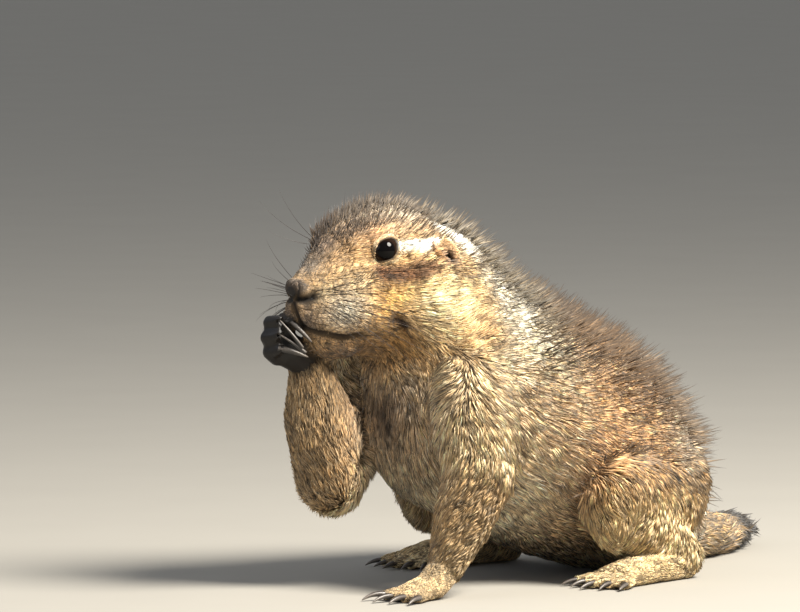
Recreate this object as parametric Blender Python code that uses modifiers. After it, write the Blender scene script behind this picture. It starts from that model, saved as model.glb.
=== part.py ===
"""A black-tailed prairie dog at life size, sitting low and holding one hand to its mouth.

The animal's own frame has +Z up, the nose towards -X and its left side towards -Y, in metres.
Sizes below are in millimetres and become metres where a mesh is made. Every solid reaches
out to the tips of the coat. Each part of the body is a closed solid of its own, parted from
its neighbours by a cut of CUT_GAP, and the feet, rump and tail stand on flats at z = 0.
"""

from math import cos, pi, radians, sin

import bmesh
import bpy
import numpy as np
from mathutils import Matrix, Vector

MM = 0.001
CUT_GAP = 0.3
FLOOR_DEPTH = 30.0

# The head: its nose tip, how far it is turned and tipped, and its length to the nape.
NOSE_TIP = Vector((-50.3, 4.2, 107.3))
HEAD_TURN = radians(4.0)
HEAD_TIP_DOWN = radians(15.0)
HEAD_LENGTH = 62.0

# Places on the head, as millimetres back from the nose tip, to its left and up from it.
EYE_PLACE = (37.0, 13.4, 3.2)
EYE_RADIUS = 5.2
EAR_PLACE = (52.2, 26.6, -3.2)
NOSE_PLACE = (3.4, 0.0, -1.2)

# Joints of the limbs, shared by the two segments that meet there.
LEFT_SHOULDER = (12, -24, 75)
LEFT_ELBOW = (4, -35, 42)
LEFT_WRIST = (-11, -34, 11)
RIGHT_SHOULDER = (5, 26, 74)
RIGHT_ELBOW = (-13, 21, 39)
RIGHT_WRIST = (-31, 14.5, 81)
HIP = (97, 30, 32)
KNEE = (61, 46, 31)
ANKLE = (97, 44, 9)
TAIL_ROOT = (131, 0, 13)


def head_matrix():
    """The head's place and turn: its columns point back from the nose, to the left and up."""
    turn = Matrix.Rotation(HEAD_TURN, 3, "Z") @ Matrix.Rotation(HEAD_TIP_DOWN, 3, "Y").inverted()
    axes = turn @ Matrix(((1, 0, 0), (0, -1, 0), (0, 0, 1)))
    return Matrix.Translation(NOSE_TIP) @ axes.to_4x4()


HEAD = head_matrix()
BODY = Matrix.Identity(4)


def clear_scene():
    for thing in list(bpy.data.objects):
        bpy.data.objects.remove(thing, do_unlink=True)


def linear_colour(code):
    """An sRGB hex code as linear red, green, blue and alpha."""
    values = [int(code[i : i + 2], 16) / 255 for i in (0, 2, 4)]
    return [v / 12.92 if v <= 0.04045 else ((v + 0.055) / 1.055) ** 2.4 for v in values] + [1.0]


def finish(name, code, roughness):
    material = bpy.data.materials.new(name)
    material.use_nodes = True
    shader = material.node_tree.nodes["Principled BSDF"]
    shader.inputs["Base Color"].default_value = linear_colour(code)
    shader.inputs["Roughness"].default_value = roughness
    shader.inputs["Metallic"].default_value = 0.0
    return material


def ball(place, radii, frame=BODY):
    """A matrix that makes a unit ball into an ellipsoid with these half-sizes at this place."""
    radii = (radii, radii, radii) if isinstance(radii, (int, float)) else radii
    return frame @ Matrix.Translation(Vector(place)) @ Matrix.Diagonal((*radii, 1.0))


def mesh_object(name, bm, collection):
    """An object in metres from a bmesh in millimetres."""
    bmesh.ops.recalc_face_normals(bm, faces=bm.faces)
    bmesh.ops.scale(bm, vec=(MM, MM, MM), verts=bm.verts)
    mesh = bpy.data.meshes.new(name)
    bm.to_mesh(mesh)
    bm.free()
    made = bpy.data.objects.new(name, mesh)
    collection.objects.link(made)
    return made


def ball_points(steps):
    """The corners of a unit ball."""
    bm = bmesh.new()
    bmesh.ops.create_icosphere(bm, subdivisions=steps, radius=1.0)
    points = [vertex.co.copy() for vertex in bm.verts]
    bm.free()
    return points


def add_hull(bm, balls, steps=3):
    """Adds the tight skin stretched round these balls."""
    piece = bmesh.new()
    for matrix in balls:
        for point in ball_points(steps):
            piece.verts.new(matrix @ point)
    hull = bmesh.ops.convex_hull(piece, input=piece.verts)
    spare = {g for g in hull["geom_interior"] + hull["geom_unused"] if isinstance(g, bmesh.types.BMVert)}
    bmesh.ops.delete(piece, geom=list(spare), context="VERTS")
    carrier = bpy.data.meshes.new("hull")
    piece.to_mesh(carrier)
    piece.free()
    bm.from_mesh(carrier)
    bpy.data.meshes.remove(carrier)


def add_chain(bm, balls, steps=3):
    """Adds a limb that runs through these balls, each stretch the hull of two of them."""
    for first, second in zip(balls, balls[1:]):
        add_hull(bm, (first, second), steps)


def smooth_curve(stations, values, places):
    """Reads a curve through (station, value) points at other places, without overshoot."""
    stations, values = np.array(stations, float), np.array(values, float)
    slopes = np.diff(values) / np.diff(stations)
    inner = np.where(slopes[1:] * slopes[:-1] > 0, 2 * slopes[1:] * slopes[:-1], 0.0)
    inner = inner / np.where(inner == 0, 1.0, slopes[1:] + slopes[:-1])
    tangents = np.concatenate([slopes[:1], inner, slopes[-1:]])
    at = np.clip(np.searchsorted(stations, places, side="right") - 1, 0, len(slopes) - 1)
    width = stations[at + 1] - stations[at]
    t = (places - stations[at]) / width
    return (
        (2 * t**3 - 3 * t**2 + 1) * values[at]
        + (t**3 - 2 * t**2 + t) * width * tangents[at]
        + (3 * t**2 - 2 * t**3) * values[at + 1]
        + (t**3 - t**2) * width * tangents[at + 1]
    )


def add_loft(bm, stations, frame, rings=36, sides=40, belly=0.45):
    """Adds a body through egg-shaped sections across the frame's first axis.

    Each station is (place along, top, bottom, half-width). The widest level of a section is
    the share belly of its height, with a half-ellipse above it and another below.
    """
    along, top, bottom, half = (np.array(column, float) for column in zip(*stations))
    sweep = (1 - np.cos(np.linspace(0.02 * pi, 0.98 * pi, rings))) / 2
    places = along[0] + (along[-1] - along[0]) * sweep
    top, bottom, half = (smooth_curve(along, line, places) for line in (top, bottom, half))
    level = bottom + belly * (top - bottom)
    turn = np.linspace(0, 2 * pi, sides, endpoint=False)
    rise = np.where(np.cos(turn) > 0, (top - level)[:, None], (level - bottom)[:, None])
    height = level[:, None] + rise * np.cos(turn)
    across = half[:, None] * np.sin(turn)
    grid = [
        [bm.verts.new(frame @ Vector((places[i], across[i, j], height[i, j]))) for j in range(sides)]
        for i in range(rings)
    ]
    for i in range(rings - 1):
        for j in range(sides):
            k = (j + 1) % sides
            bm.faces.new((grid[i][j], grid[i][k], grid[i + 1][k], grid[i + 1][j]))
    bm.faces.new(grid[0][::-1])
    bm.faces.new(grid[-1])


def evaluated_copy(thing):
    """Replaces an object's mesh by the mesh that its modifiers make, and drops them."""
    graph = bpy.context.evaluated_depsgraph_get()
    mesh = bpy.data.meshes.new_from_object(thing.evaluated_get(graph))
    thing.modifiers.clear()
    thing.data = mesh


def soften(thing, voxel, rounds, triangles):
    """Joins overlapping shapes into one skin, rounds the creases and thins the mesh."""
    remesh = thing.modifiers.new("one skin", "REMESH")
    remesh.mode = "VOXEL"
    remesh.voxel_size = voxel * MM
    relax = thing.modifiers.new("relaxed", "SMOOTH")
    relax.factor = 0.5
    relax.iterations = rounds
    evaluated_copy(thing)
    faces = sum(len(polygon.vertices) - 2 for polygon in thing.data.polygons)
    thin = thing.modifiers.new("thinned", "DECIMATE")
    thin.ratio = min(1.0, triangles / faces)
    thin.use_collapse_triangulate = True
    evaluated_copy(thing)


def swollen(thing, by, cutters):
    """A copy of an object with its surface moved out by this many millimetres."""
    cutter = bpy.data.objects.new(thing.name + "_cut", thing.data.copy())
    cutters.objects.link(cutter)
    cutter.hide_render = True
    cutter.display_type = "WIRE"
    move = cutter.modifiers.new("swollen", "DISPLACE")
    move.strength = by * MM
    move.mid_level = 0.0
    bpy.context.view_layer.update()
    evaluated_copy(cutter)
    return cutter


def cut_away(thing, cutter):
    """Takes the cutter's room out of an object."""
    cut = thing.modifiers.new("cut", "BOOLEAN")
    cut.operation = "DIFFERENCE"
    cut.solver = "MANIFOLD"
    cut.object = cutter
    bpy.context.view_layer.update()
    evaluated_copy(thing)


def keep_largest(thing):
    """Leaves only the largest closed shell of an object, and drops crumbs left by a cut."""
    bm = bmesh.new()
    bm.from_mesh(thing.data)
    bmesh.ops.remove_doubles(bm, verts=bm.verts, dist=0.01 * MM)
    bmesh.ops.dissolve_degenerate(bm, edges=bm.edges, dist=0.01 * MM)
    unseen = set(bm.verts)
    shells = []
    while unseen:
        shell = [unseen.pop()]
        for vertex in shell:
            near = {edge.other_vert(vertex) for edge in vertex.link_edges} & unseen
            unseen -= near
            shell.extend(near)
        shells.append(shell)
    largest = max(shells, key=len)
    spare = [vertex for shell in shells if shell is not largest for vertex in shell]
    bmesh.ops.delete(bm, geom=spare, context="VERTS")
    bmesh.ops.triangulate(bm, faces=bm.faces)
    bm.to_mesh(thing.data)
    bm.free()


def boxes_meet(first, second, margin):
    """Whether two objects' boxes come within this many metres of each other."""
    spans = []
    for thing in (first, second):
        places = np.array([vertex.co for vertex in thing.data.vertices])
        spans.append((places.min(0) - margin, places.max(0) + margin))
    return bool((spans[0][0] < spans[1][1]).all() and (spans[1][0] < spans[0][1]).all())


class Maker:
    """Makes each node in turn, and parts it from the nodes that were made before it."""

    def __init__(self):
        self.parts = bpy.data.collections.new("prairie_dog")
        self.cutters = bpy.data.collections.new("cutters")
        for collection in (self.parts, self.cutters):
            bpy.context.scene.collection.children.link(collection)
        self.stance = bpy.data.objects.new("stance", None)
        self.parts.objects.link(self.stance)
        self.cutter_of = {}
        self.floor = self.make_floor()

    def make_floor(self):
        """A block below z = 0, which gives what stands on the floor its flats."""
        bm = bmesh.new()
        side = 800.0
        lift = Matrix.Translation((0.0, 0.0, -FLOOR_DEPTH / 2))
        bmesh.ops.create_cube(bm, size=1.0, matrix=lift @ Matrix.Diagonal((side, side, FLOOR_DEPTH, 1.0)))
        block = mesh_object("floor_cut", bm, self.cutters)
        block.hide_render = True
        block.display_type = "WIRE"
        return block

    def add(self, name, bm, material, voxel=None, rounds=0, triangles=0, on_floor=False):
        thing = mesh_object(name, bm, self.parts)
        if voxel:
            soften(thing, voxel, rounds, triangles)
        if on_floor:
            cut_away(thing, self.floor)
        for other, cutter in self.cutter_of.items():
            if boxes_meet(thing, cutter, 0.0):
                cut_away(thing, cutter)
        keep_largest(thing)
        thing.data.materials.clear()
        thing.data.materials.append(material)
        thing.data.shade_smooth()
        self.cutter_of[name] = swollen(thing, CUT_GAP, self.cutters)
        thing.parent = self.stance
        return thing

    def centre(self):
        """Moves the animal so that the middle of its box stands over the origin."""
        bpy.context.view_layer.update()
        corners = np.array([
            part.matrix_world @ vertex.co for part in self.stance.children for vertex in part.data.vertices
        ])
        middle = (corners.min(0) + corners.max(0)) / 2
        self.stance.location = (-middle[0], -middle[1], -corners[:, 2].min())


def mirrored(place, side):
    """A place given for the animal's right side, moved to its left where side is left."""
    x, y, z = place
    return (x, -y if side == "left" else y, z)


def along(first, second, share):
    """The place this share of the way from one place to another."""
    return tuple(Vector(first).lerp(Vector(second), share))


def joint_plane(before, joint, after):
    """The plane that halves the angle of a joint, as its point and its direction onwards."""
    before, joint, after = Vector(before), Vector(joint), Vector(after)
    return joint, ((joint - before).normalized() + (after - joint).normalized()).normalized()


def slice_off(bm, point, direction):
    """Takes away all of a closed mesh that lies past a plane, and closes the cut flat."""
    everything = bm.verts[:] + bm.edges[:] + bm.faces[:]
    cut = bmesh.ops.bisect_plane(
        bm, geom=everything, plane_co=point, plane_no=direction, clear_outer=True, dist=1e-5
    )
    rim = [g for g in cut["geom_cut"] if isinstance(g, bmesh.types.BMEdge)]
    bmesh.ops.holes_fill(bm, edges=rim)


def make_parted(maker, whole, voxel, rounds, triangles, pieces):
    """Makes one smooth skin of a bmesh and parts it by flat cuts.

    Each piece is (name, material, planes to stay before, planes to lie past, on the floor).
    """
    skin = mesh_object("whole", whole, maker.cutters)
    soften(skin, voxel, rounds, triangles)
    for name, material, before, past, on_floor in pieces:
        bm = bmesh.new()
        bm.from_mesh(skin.data)
        bmesh.ops.scale(bm, vec=(1 / MM, 1 / MM, 1 / MM), verts=bm.verts)
        for point, direction in before:
            slice_off(bm, point - direction * CUT_GAP / 2, direction)
        for point, direction in past:
            slice_off(bm, point + direction * CUT_GAP / 2, -direction)
        maker.add(name, bm, material, on_floor=on_floor)
    bpy.data.objects.remove(skin, do_unlink=True)


def make_claw(maker, name, root, direction, droop, length, thick, material):
    """A claw: a cone that bends from its direction towards its droop and ends in a blunt point."""
    bends = 4
    heading, fall = Vector(direction).normalized(), Vector(droop).normalized()
    place, balls = Vector(root), []
    for i in range(bends + 1):
        share = i / bends
        balls.append(ball(place, max(thick * (1 - 0.72 * share**1.2), 0.3)))
        place = place + (heading * (1 - 0.75 * share) + fall * 0.75 * share).normalized() * length / bends
    bm = bmesh.new()
    add_chain(bm, balls, steps=1)
    return maker.add(name, bm, material, voxel=0.22, rounds=2, triangles=30)


def make_eyes(maker, material):
    for side, sign in (("left", 1), ("right", -1)):
        back, out, up = EYE_PLACE
        bm = bmesh.new()
        matrix = ball((back, sign * out, up), EYE_RADIUS, HEAD)
        bmesh.ops.create_uvsphere(bm, u_segments=12, v_segments=8, radius=1.0, matrix=matrix)
        maker.add("eye_" + side, bm, material)


def make_nose(maker, material):
    """The bare nose pad: two wings round the nostrils, and a narrower part that leads to the lip."""
    bm = bmesh.new()
    back, left, up = NOSE_PLACE
    front = [ball((back, side, up + 0.8), (2.7, 2.4, 3.4), HEAD) for side in (-1.8, 1.8)]
    wings = [ball((back + 2.8, side, up - 1.6), (2.3, 2.0, 2.9), HEAD) for side in (-3.2, 3.2)]
    add_hull(bm, front + wings)
    bridge = ball((back, left, up), (2.6, 3.0, 2.6), HEAD)
    add_hull(bm, (bridge, ball((back + 0.6, left, up - 5.0), (2.0, 1.2, 1.8), HEAD)))
    maker.add("nose", bm, material, voxel=0.5, rounds=3, triangles=90)


def make_ears(maker, material):
    """Each ear: a low shell whose rim stands off the head behind, with a cup open to the front and side."""
    back, out, up = EAR_PLACE
    front_edge = (((-2.4, -1.0, 4.0), 1.5), ((-3.0, -0.6, 0.0), 1.4), ((-1.4, 0.2, -4.2), 1.3))
    rear_rim = (((1.6, 1.2, 4.8), 1.5), ((2.6, 3.6, 0.4), 1.5), ((1.2, 2.6, -4.6), 1.4))
    buried = ((1.0, -3.6, 0.0), 3.4)
    for side, sign in (("left", 1), ("right", -1)):
        frame = HEAD @ Matrix.Translation(Vector((back, sign * out, up)))
        bm = bmesh.new()
        edges = (*front_edge, *rear_rim, buried)
        add_hull(bm, [ball((x, sign * y, z), size, frame) for (x, y, z), size in edges])
        ear = maker.add("ear_" + side, bm, material, voxel=0.5, rounds=2, triangles=110)
        cup = bmesh.new()
        add_hull(cup, (
            ball((-0.9, sign * 3.4, 0.8), (1.5, 2.6, 2.6), frame),
            ball((-0.1, sign * 2.6, -2.4), (1.1, 2.0, 1.4), frame),
        ), steps=1)
        hollow = mesh_object("cup_" + side, cup, maker.cutters)
        hollow.hide_render = True
        hollow.display_type = "WIRE"
        cut_away(ear, hollow)
        keep_largest(ear)


def head_stations():
    """The head's sections from nose to nape: back from the nose tip, top, bottom, half-width."""
    return (
        (0.6, 1.0, -8.0, 2.6),
        (4.0, 4.0, -18.0, 5.2),
        (9.0, 7.0, -25.0, 6.8),
        (17.0, 10.6, -29.5, 8.8),
        (25.0, 13.6, -32.5, 11.5),
        (33.0, 15.4, -35.0, 16.8),
        (42.0, 15.6, -36.5, 22.8),
        (52.0, 16.0, -36.0, 26.6),
        (60.0, 12.8, -33.0, 25.0),
        (66.0, 4.0, -24.0, 15.0),
    )


def trunk_stations():
    """The trunk's sections from chest to rump: place along X, top, bottom and half-width."""
    return (
        (-9, 78, 58, 7),
        (-4, 91, 46, 20),
        (4, 102, 36, 29),
        (16, 110, 28, 37),
        (30, 112, 22, 42),
        (45, 106, 16, 46),
        (66, 95.6, 8, 49),
        (85, 88, 3, 50),
        (97, 81, 0, 48),
        (108, 71, -1.5, 43.5),
        (118, 58, -1.5, 37),
        (126, 44, -1.5, 28),
        (132, 28, 1, 17),
        (135, 18, 5, 7),
    )


def add_head(bm):
    """The head: a skull-shaped loft with brows, cheeks, whisker pads and chin added."""
    add_loft(bm, head_stations(), HEAD, belly=0.42)
    for sign in (1, -1):
        lip = ball((8, sign * 3.8, -9), (6.0, 4.8, 6.8), HEAD)
        jowl = ball((17, sign * 6.4, -14), (8, 6.0, 9.2), HEAD)
        brow = ball((29, sign * 8.4, 9), (6.5, 3.8, 3.6), HEAD), ball((40, sign * 10.5, 9), (7, 5, 4), HEAD)
        cheek = ball((31, sign * 11.5, -13), (12, 8, 12), HEAD), ball((50, sign * 19, -16), (12, 9, 13), HEAD)
        for ends in ((lip, jowl), brow, cheek, (jowl, cheek[0])):
            add_hull(bm, ends)
    add_hull(bm, (ball((9.5, 0, -22), (4.2, 4.6, 4.2), HEAD), ball((20, 0, -25), (9, 8.5, 7), HEAD)))


def add_neck(bm):
    """The neck: short and as thick as the head, with a ruff from each cheek to the shoulder."""
    skull, nape = ball((50, 0, -10), (19, 26, 25.4), HEAD), ball((10, 1, 102), (25, 30, 27.4))
    add_chain(bm, (skull, nape, ball((24, 0, 87), (25, 35, 29))))
    for sign in (1, -1):
        cheek = ball((51, sign * 17.5, -15), (12, 9, 12), HEAD)
        add_hull(bm, (cheek, ball((13, -sign * 23, 79), (13, 12, 15))))


def make_body(maker, material):
    """Head, neck and trunk as one skin, parted behind the skull, over the shoulders and across."""
    whole = bmesh.new()
    add_head(whole)
    add_neck(whole)
    add_loft(whole, trunk_stations(), BODY, rings=44, sides=44, belly=0.42)
    nape = HEAD @ Vector((HEAD_LENGTH - 2, 0, 0)), (HEAD.to_3x3() @ Vector((1, 0, 0))).normalized()
    shoulders = Vector((16, 0, 87)), Vector((0.4, 0, -0.92)).normalized()
    ribs = Vector((44, 0, 0)), Vector((1, 0, 0))
    loins = Vector((88, 0, 0)), Vector((1, 0, 0))
    make_parted(maker, whole, 1.3, 9, 1150, (
        ("head", material, (nape, shoulders), (), False),
        ("neck", material, (shoulders,), (nape,), False),
        ("chest", material, (ribs,), (shoulders,), False),
        ("belly", material, (loins,), (ribs, shoulders), True),
        ("rump", material, (), (loins,), True),
    ))


def make_tail(maker, coat, tip_coat):
    """The tail: short, flattened and brushy, laid back and round to the right."""
    x, y, z = TAIL_ROOT
    root, middle, joint = (x - 4, y, z), (x + 19, y + 2, 9), (x + 42, y + 10, 7)
    bend, end = (x + 62, y + 23, 6), (x + 75, y + 35, 4.2)
    tail = bmesh.new()
    add_chain(tail, (
        ball(root, (11, 13, 12)), ball(middle, (9, 11.5, 9.4)), ball(joint, (8.5, 11.5, 7.6)),
        ball(bend, (8, 10, 6.6)), ball(end, (3.6, 4.6, 4.0)),
    ))
    half_way = joint_plane(middle, joint, bend)
    make_parted(maker, tail, 1.4, 4, 150, (
        ("tail_base", coat, (half_way,), (), True),
        ("tail_tip", tip_coat, (), (half_way,), True),
    ))


def add_arm(bm, shoulder, elbow, wrist, girth):
    """An arm's upper arm and forearm with their coat, down to the wrist."""
    add_chain(bm, (
        ball(shoulder, (15, 12.5, 16)),
        ball(along(shoulder, elbow, 0.52), (16, 13, 17)),
        ball(elbow, (13.5, 11.5, 13)),
    ))
    add_chain(bm, (
        ball(elbow, (13.5, 11.5, 13)),
        ball(along(elbow, wrist, 0.46), girth),
        ball(along(elbow, wrist, 0.96), 6.6),
    ))


def arm_pieces(side, coat, skin, shoulder, elbow, wrist, palm, on_floor):
    """An arm's three pieces, parted at the elbow and the wrist."""
    at_elbow, at_wrist = joint_plane(shoulder, elbow, wrist), joint_plane(elbow, wrist, palm)
    return (
        ("hand_" + side, skin, (), (at_wrist,), on_floor),
        ("forearm_" + side, coat, (at_wrist,), (at_elbow,), False),
        ("upper_arm_" + side, coat, (at_elbow,), (), False),
    )


def make_left_arm(maker, coat, skin, horn):
    """The left arm, planted: the hand lies flat on the floor with its fingers fanned."""
    wrist = Vector(LEFT_WRIST)
    palm, knuckle = wrist + Vector((-7, 0.4, -6.4)), wrist + Vector((-14, 1.0, -7.8))
    arm = bmesh.new()
    add_arm(arm, LEFT_SHOULDER, LEFT_ELBOW, LEFT_WRIST, (12, 10, 11))
    add_chain(arm, (ball(wrist, (6.2, 5.6, 6)), ball(palm, (6, 6.6, 4.8)), ball(knuckle, (5, 7.4, 3.6))))
    for i, offset in enumerate((-5.6, -2.0, 2.0, 5.6)):
        root = (knuckle.x - 1, knuckle.y + offset, 3.0)
        tip = (knuckle.x - 10 + abs(offset) * 0.5, knuckle.y + offset * 1.5, 2.0)
        add_hull(arm, (ball(root, 2.5), ball(tip, 2.2)))
        heading = Vector(tip) - Vector(root)
        name, way = f"claw_hand_left_{i + 1}", (heading.x, heading.y, 0.8)
        make_claw(maker, name, tip, way, (-1, 0, -1.3), 8.6, 1.35, horn)
    add_hull(arm, (ball(palm + Vector((2, 4, -1)), 2.6), ball(palm + Vector((0, 6.6, -1.6)), 2.0)))
    joints = LEFT_SHOULDER, LEFT_ELBOW, LEFT_WRIST
    make_parted(maker, arm, 0.8, 5, 330, arm_pieces("left", coat, skin, *joints, palm, True))


def make_right_arm(maker, coat, skin, horn):
    """The right arm, raised: the hand is closed at the mouth with its fingers and claws curled in."""
    palm = Vector((-41.5, 14.5, 86.0))
    arm = bmesh.new()
    add_arm(arm, RIGHT_SHOULDER, RIGHT_ELBOW, RIGHT_WRIST, (13.5, 12, 13.5))
    add_chain(arm, (ball(RIGHT_WRIST, (5.6, 5.4, 6.2)), ball(palm, (5.6, 5.2, 6.8))))
    roots = ((-42.0, 13.5, 92.6), (-45.5, 14.6, 91.0), (-46.5, 15.2, 87.0), (-45.0, 15.6, 82.6))
    knuckles = ((-44.7, 12.2, 96.6), (-50.6, 13.4, 95.6), (-51.4, 14.1, 90.3), (-49.5, 14.9, 85.0))
    pads = ((-45.8, 7.6, 95.9), (-51.0, 7.8, 96.6), (-51.0, 8.0, 91.6), (-48.9, 8.7, 86.4))
    tips = ((-40.7, 2.5, 88.2), (-44.8, 3.7, 86.9), (-43.7, 3.4, 85.0), (-41.2, 4.4, 83.2))
    outward = Vector((-0.26, -0.26, 0.12))
    for i, (root, knuckle, pad, tip) in enumerate(zip(roots, knuckles, pads, tips)):
        add_chain(arm, (ball(root, 2.9), ball(knuckle, 2.6), ball(pad, 2.1)))
        reach = Vector(tip) - Vector(pad)
        name, way = f"claw_hand_right_{i + 1}", reach.normalized()
        make_claw(maker, name, pad, way + outward, way - outward, reach.length, 1.45, horn)
    add_hull(arm, (ball((-38.0, 11.0, 86.0), 3.0), ball((-39.0, 7.0, 87.0), 2.0)))
    joints = RIGHT_SHOULDER, RIGHT_ELBOW, RIGHT_WRIST
    make_parted(maker, arm, 0.7, 2, 680, arm_pieces("right", coat, skin, *joints, palm, False))


def make_foot(maker, side, skin, horn):
    """A long hind foot, flat on the floor, with five toes and their claws."""
    heel, arch = (ANKLE[0] + 1, ANKLE[1], 5.8), (ANKLE[0] - 20, ANKLE[1] + 3, 5.2)
    tread = (ANKLE[0] - 37, ANKLE[1] + 5, 3.8)
    sizes = (7, 6.6, 7.2), (9, 7.6, 6.2), (7, 9.0, 4.6)
    foot = bmesh.new()
    add_chain(foot, [ball(mirrored(place, side), size) for place, size in zip((heel, arch, tread), sizes)])
    for i, offset in enumerate((-7.4, -3.8, 0.0, 3.8, 7.4)):
        root = mirrored((tread[0] - 2, tread[1] + offset, 3.0), side)
        tip = mirrored((tread[0] - 13 + abs(offset) * 0.62, tread[1] + offset * 1.5, 2.1), side)
        add_hull(foot, (ball(root, 2.8), ball(tip, 2.4)))
        heading = Vector(tip) - Vector(root)
        name, way = f"claw_foot_{side}_{i + 1}", (heading.x, heading.y, 0.4)
        make_claw(maker, name, tip, way, (-1, 0, -1.2), 7.0, 1.3, horn)
    maker.add("foot_" + side, foot, skin, voxel=0.8, rounds=3, triangles=160, on_floor=True)


def make_leg(maker, side, coat):
    """A folded hind leg: the thigh lies forward along the belly and the shank back under it."""
    hip, knee, ankle = (mirrored(place, side) for place in (HIP, KNEE, ANKLE))
    leg = bmesh.new()
    thigh, shank = along(hip, knee, 0.5), along(knee, ankle, 0.55)
    add_chain(leg, (ball(hip, (23, 18, 24)), ball(thigh, (22, 15, 23)), ball(knee, (14, 11, 18))))
    add_chain(leg, (ball(knee, (13, 10, 15)), ball(shank, (11, 8, 11)), ball(ankle, (9, 7, 8))))
    at_knee = joint_plane(hip, knee, ankle)
    make_parted(maker, leg, 1.4, 6, 170, (
        ("thigh_" + side, coat, (at_knee,), (), False),
        ("shank_" + side, coat, (), (at_knee,), True),
    ))


def main():
    clear_scene()
    back_coat = finish("grizzled_fur", "B99263", 0.9)
    under_coat = finish("buff_fur", "C9AB7C", 0.9)
    tail_coat = finish("black_fur", "2A231D", 0.9)
    skin = finish("bare_skin", "3A322D", 0.7)
    nose_skin = finish("nose_leather", "2B2523", 0.45)
    horn = finish("claw_horn", "1C1A19", 0.35)
    eye = finish("wet_eye", "0C0A0A", 0.05)
    maker = Maker()
    make_eyes(maker, eye)
    make_nose(maker, nose_skin)
    make_ears(maker, back_coat)
    make_right_arm(maker, under_coat, skin, horn)
    make_left_arm(maker, under_coat, skin, horn)
    for side in ("left", "right"):
        make_foot(maker, side, skin, horn)
        make_leg(maker, side, back_coat)
    make_tail(maker, back_coat, tail_coat)
    make_body(maker, back_coat)
    maker.centre()


main()
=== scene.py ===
"""The looks of a black-tailed prairie dog at life size, sitting low with one hand at its mouth.

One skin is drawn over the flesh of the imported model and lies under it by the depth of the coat,
and mesh tufts over the skin follow the lie of the fur. Places are in the row frame, with +Z up,
the nose towards -X and the animal's left towards -Y, in millimetres until a mesh is made.
"""

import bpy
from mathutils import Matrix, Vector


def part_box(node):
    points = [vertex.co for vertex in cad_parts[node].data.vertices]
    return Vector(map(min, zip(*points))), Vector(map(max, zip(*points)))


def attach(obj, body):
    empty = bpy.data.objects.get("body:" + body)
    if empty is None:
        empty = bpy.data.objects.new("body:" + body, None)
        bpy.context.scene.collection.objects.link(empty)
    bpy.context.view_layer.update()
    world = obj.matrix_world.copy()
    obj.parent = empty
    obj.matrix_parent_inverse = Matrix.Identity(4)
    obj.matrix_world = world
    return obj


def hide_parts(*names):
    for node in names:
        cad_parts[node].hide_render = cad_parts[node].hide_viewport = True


bl_info = {
    "name": "Prairie dog",
    "version": (1, 0, 0),
    "blender": (4, 5, 0),
    "location": "3D View > Sidebar > Prairie dog",
    "description": "Skin, coat, eyes, claws and whiskers of a life-size prairie dog",
    "category": "Object",
}

from collections import namedtuple
from math import cos, pi, radians, sin

import bmesh
import bpy
import numpy as np
from bpy.props import FloatProperty, FloatVectorProperty, IntProperty, PointerProperty
from mathutils import Vector
from mathutils.kdtree import KDTree

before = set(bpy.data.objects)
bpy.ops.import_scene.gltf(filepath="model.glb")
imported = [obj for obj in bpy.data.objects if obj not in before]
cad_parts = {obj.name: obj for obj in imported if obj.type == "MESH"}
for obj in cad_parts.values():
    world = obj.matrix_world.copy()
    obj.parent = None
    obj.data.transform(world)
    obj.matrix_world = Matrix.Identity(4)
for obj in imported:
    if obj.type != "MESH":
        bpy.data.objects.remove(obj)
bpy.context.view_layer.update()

MM = 0.001
BAKE_MAP = "OFBake"
TUFT_PATCH = 0.003

# The head: how far it is turned and tipped, and the two eyeballs on it.
# Places on the head are millimetres back from the nose tip, out to its left and up.
HEAD_TURN = radians(4.0)
HEAD_TIP_DOWN = radians(15.0)
EYE_PLACE = np.array((37.0, 13.4, 3.2))
EYE_RADIUS = 5.2
EYE_OUT = np.array((-0.60, 0.77, 0.22))
EYE_ALONG = np.array((0.72, 0.42, 0.46))

# The eye's opening on its ball: its half-length and half-height as shares of the radius, and how
# much lower it is at its front corner.
OPENING_LENGTH = 0.93
OPENING_HEIGHT = 0.65
OPENING_NARROWS = 0.46

# The lids: how far the skin goes under the ball and stands over it, and the steps on the scale of
# the opening at which it rises to the lids and runs out into the face.
LID_UNDER = 1.2
LID_OVER = 0.45
LID_EDGE = (0.93, 1.03)
LID_RUN_OUT = (1.12, 1.9)

# The camera, aimed at the middle of the photograph's frame, which is this far from the nose tip.
CAMERA_AIM_FROM_NOSE = np.array((50.3, -4.2, -7.9))
CAMERA_AZIMUTH = radians(-45.0)
CAMERA_ELEVATION = radians(4.0)
CAMERA_DISTANCE = 3000.0
VIEW_WIDTH = 280.0
FILM_WIDTH = 36.0
LIGHT_AIM = np.array((-60.0, 0.0, 70.0))

# The skin's mesh: how finely it is drawn, and the last share of its faces that is kept.
SKIN_VOXEL = 0.6
SKIN_SMOOTHING = 3
SKIN_KEPT = 0.21

# The skin under the fur is painted darker than the coat by this share: partly a darker undercoat, partly
# painted shade in the gaps between the tufts.
UNDERCOAT_AND_SHADE = 0.34

FLESH = [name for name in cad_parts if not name.startswith(("claw", "eye"))]
EYES = ["eye_left", "eye_right"]
CLAWS = [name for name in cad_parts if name.startswith("claw")]


def linear(code):
    """An sRGB hex colour as linear red, green and blue."""
    parts = np.array([int(code[i : i + 2], 16) for i in (0, 2, 4)]) / 255.0
    return np.where(parts <= 0.04045, parts / 12.92, ((parts + 0.055) / 1.055) ** 2.4)


def unit(vectors):
    """Each vector at length 1."""
    return vectors / np.maximum(np.linalg.norm(vectors, axis=-1, keepdims=True), 1e-9)


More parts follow.
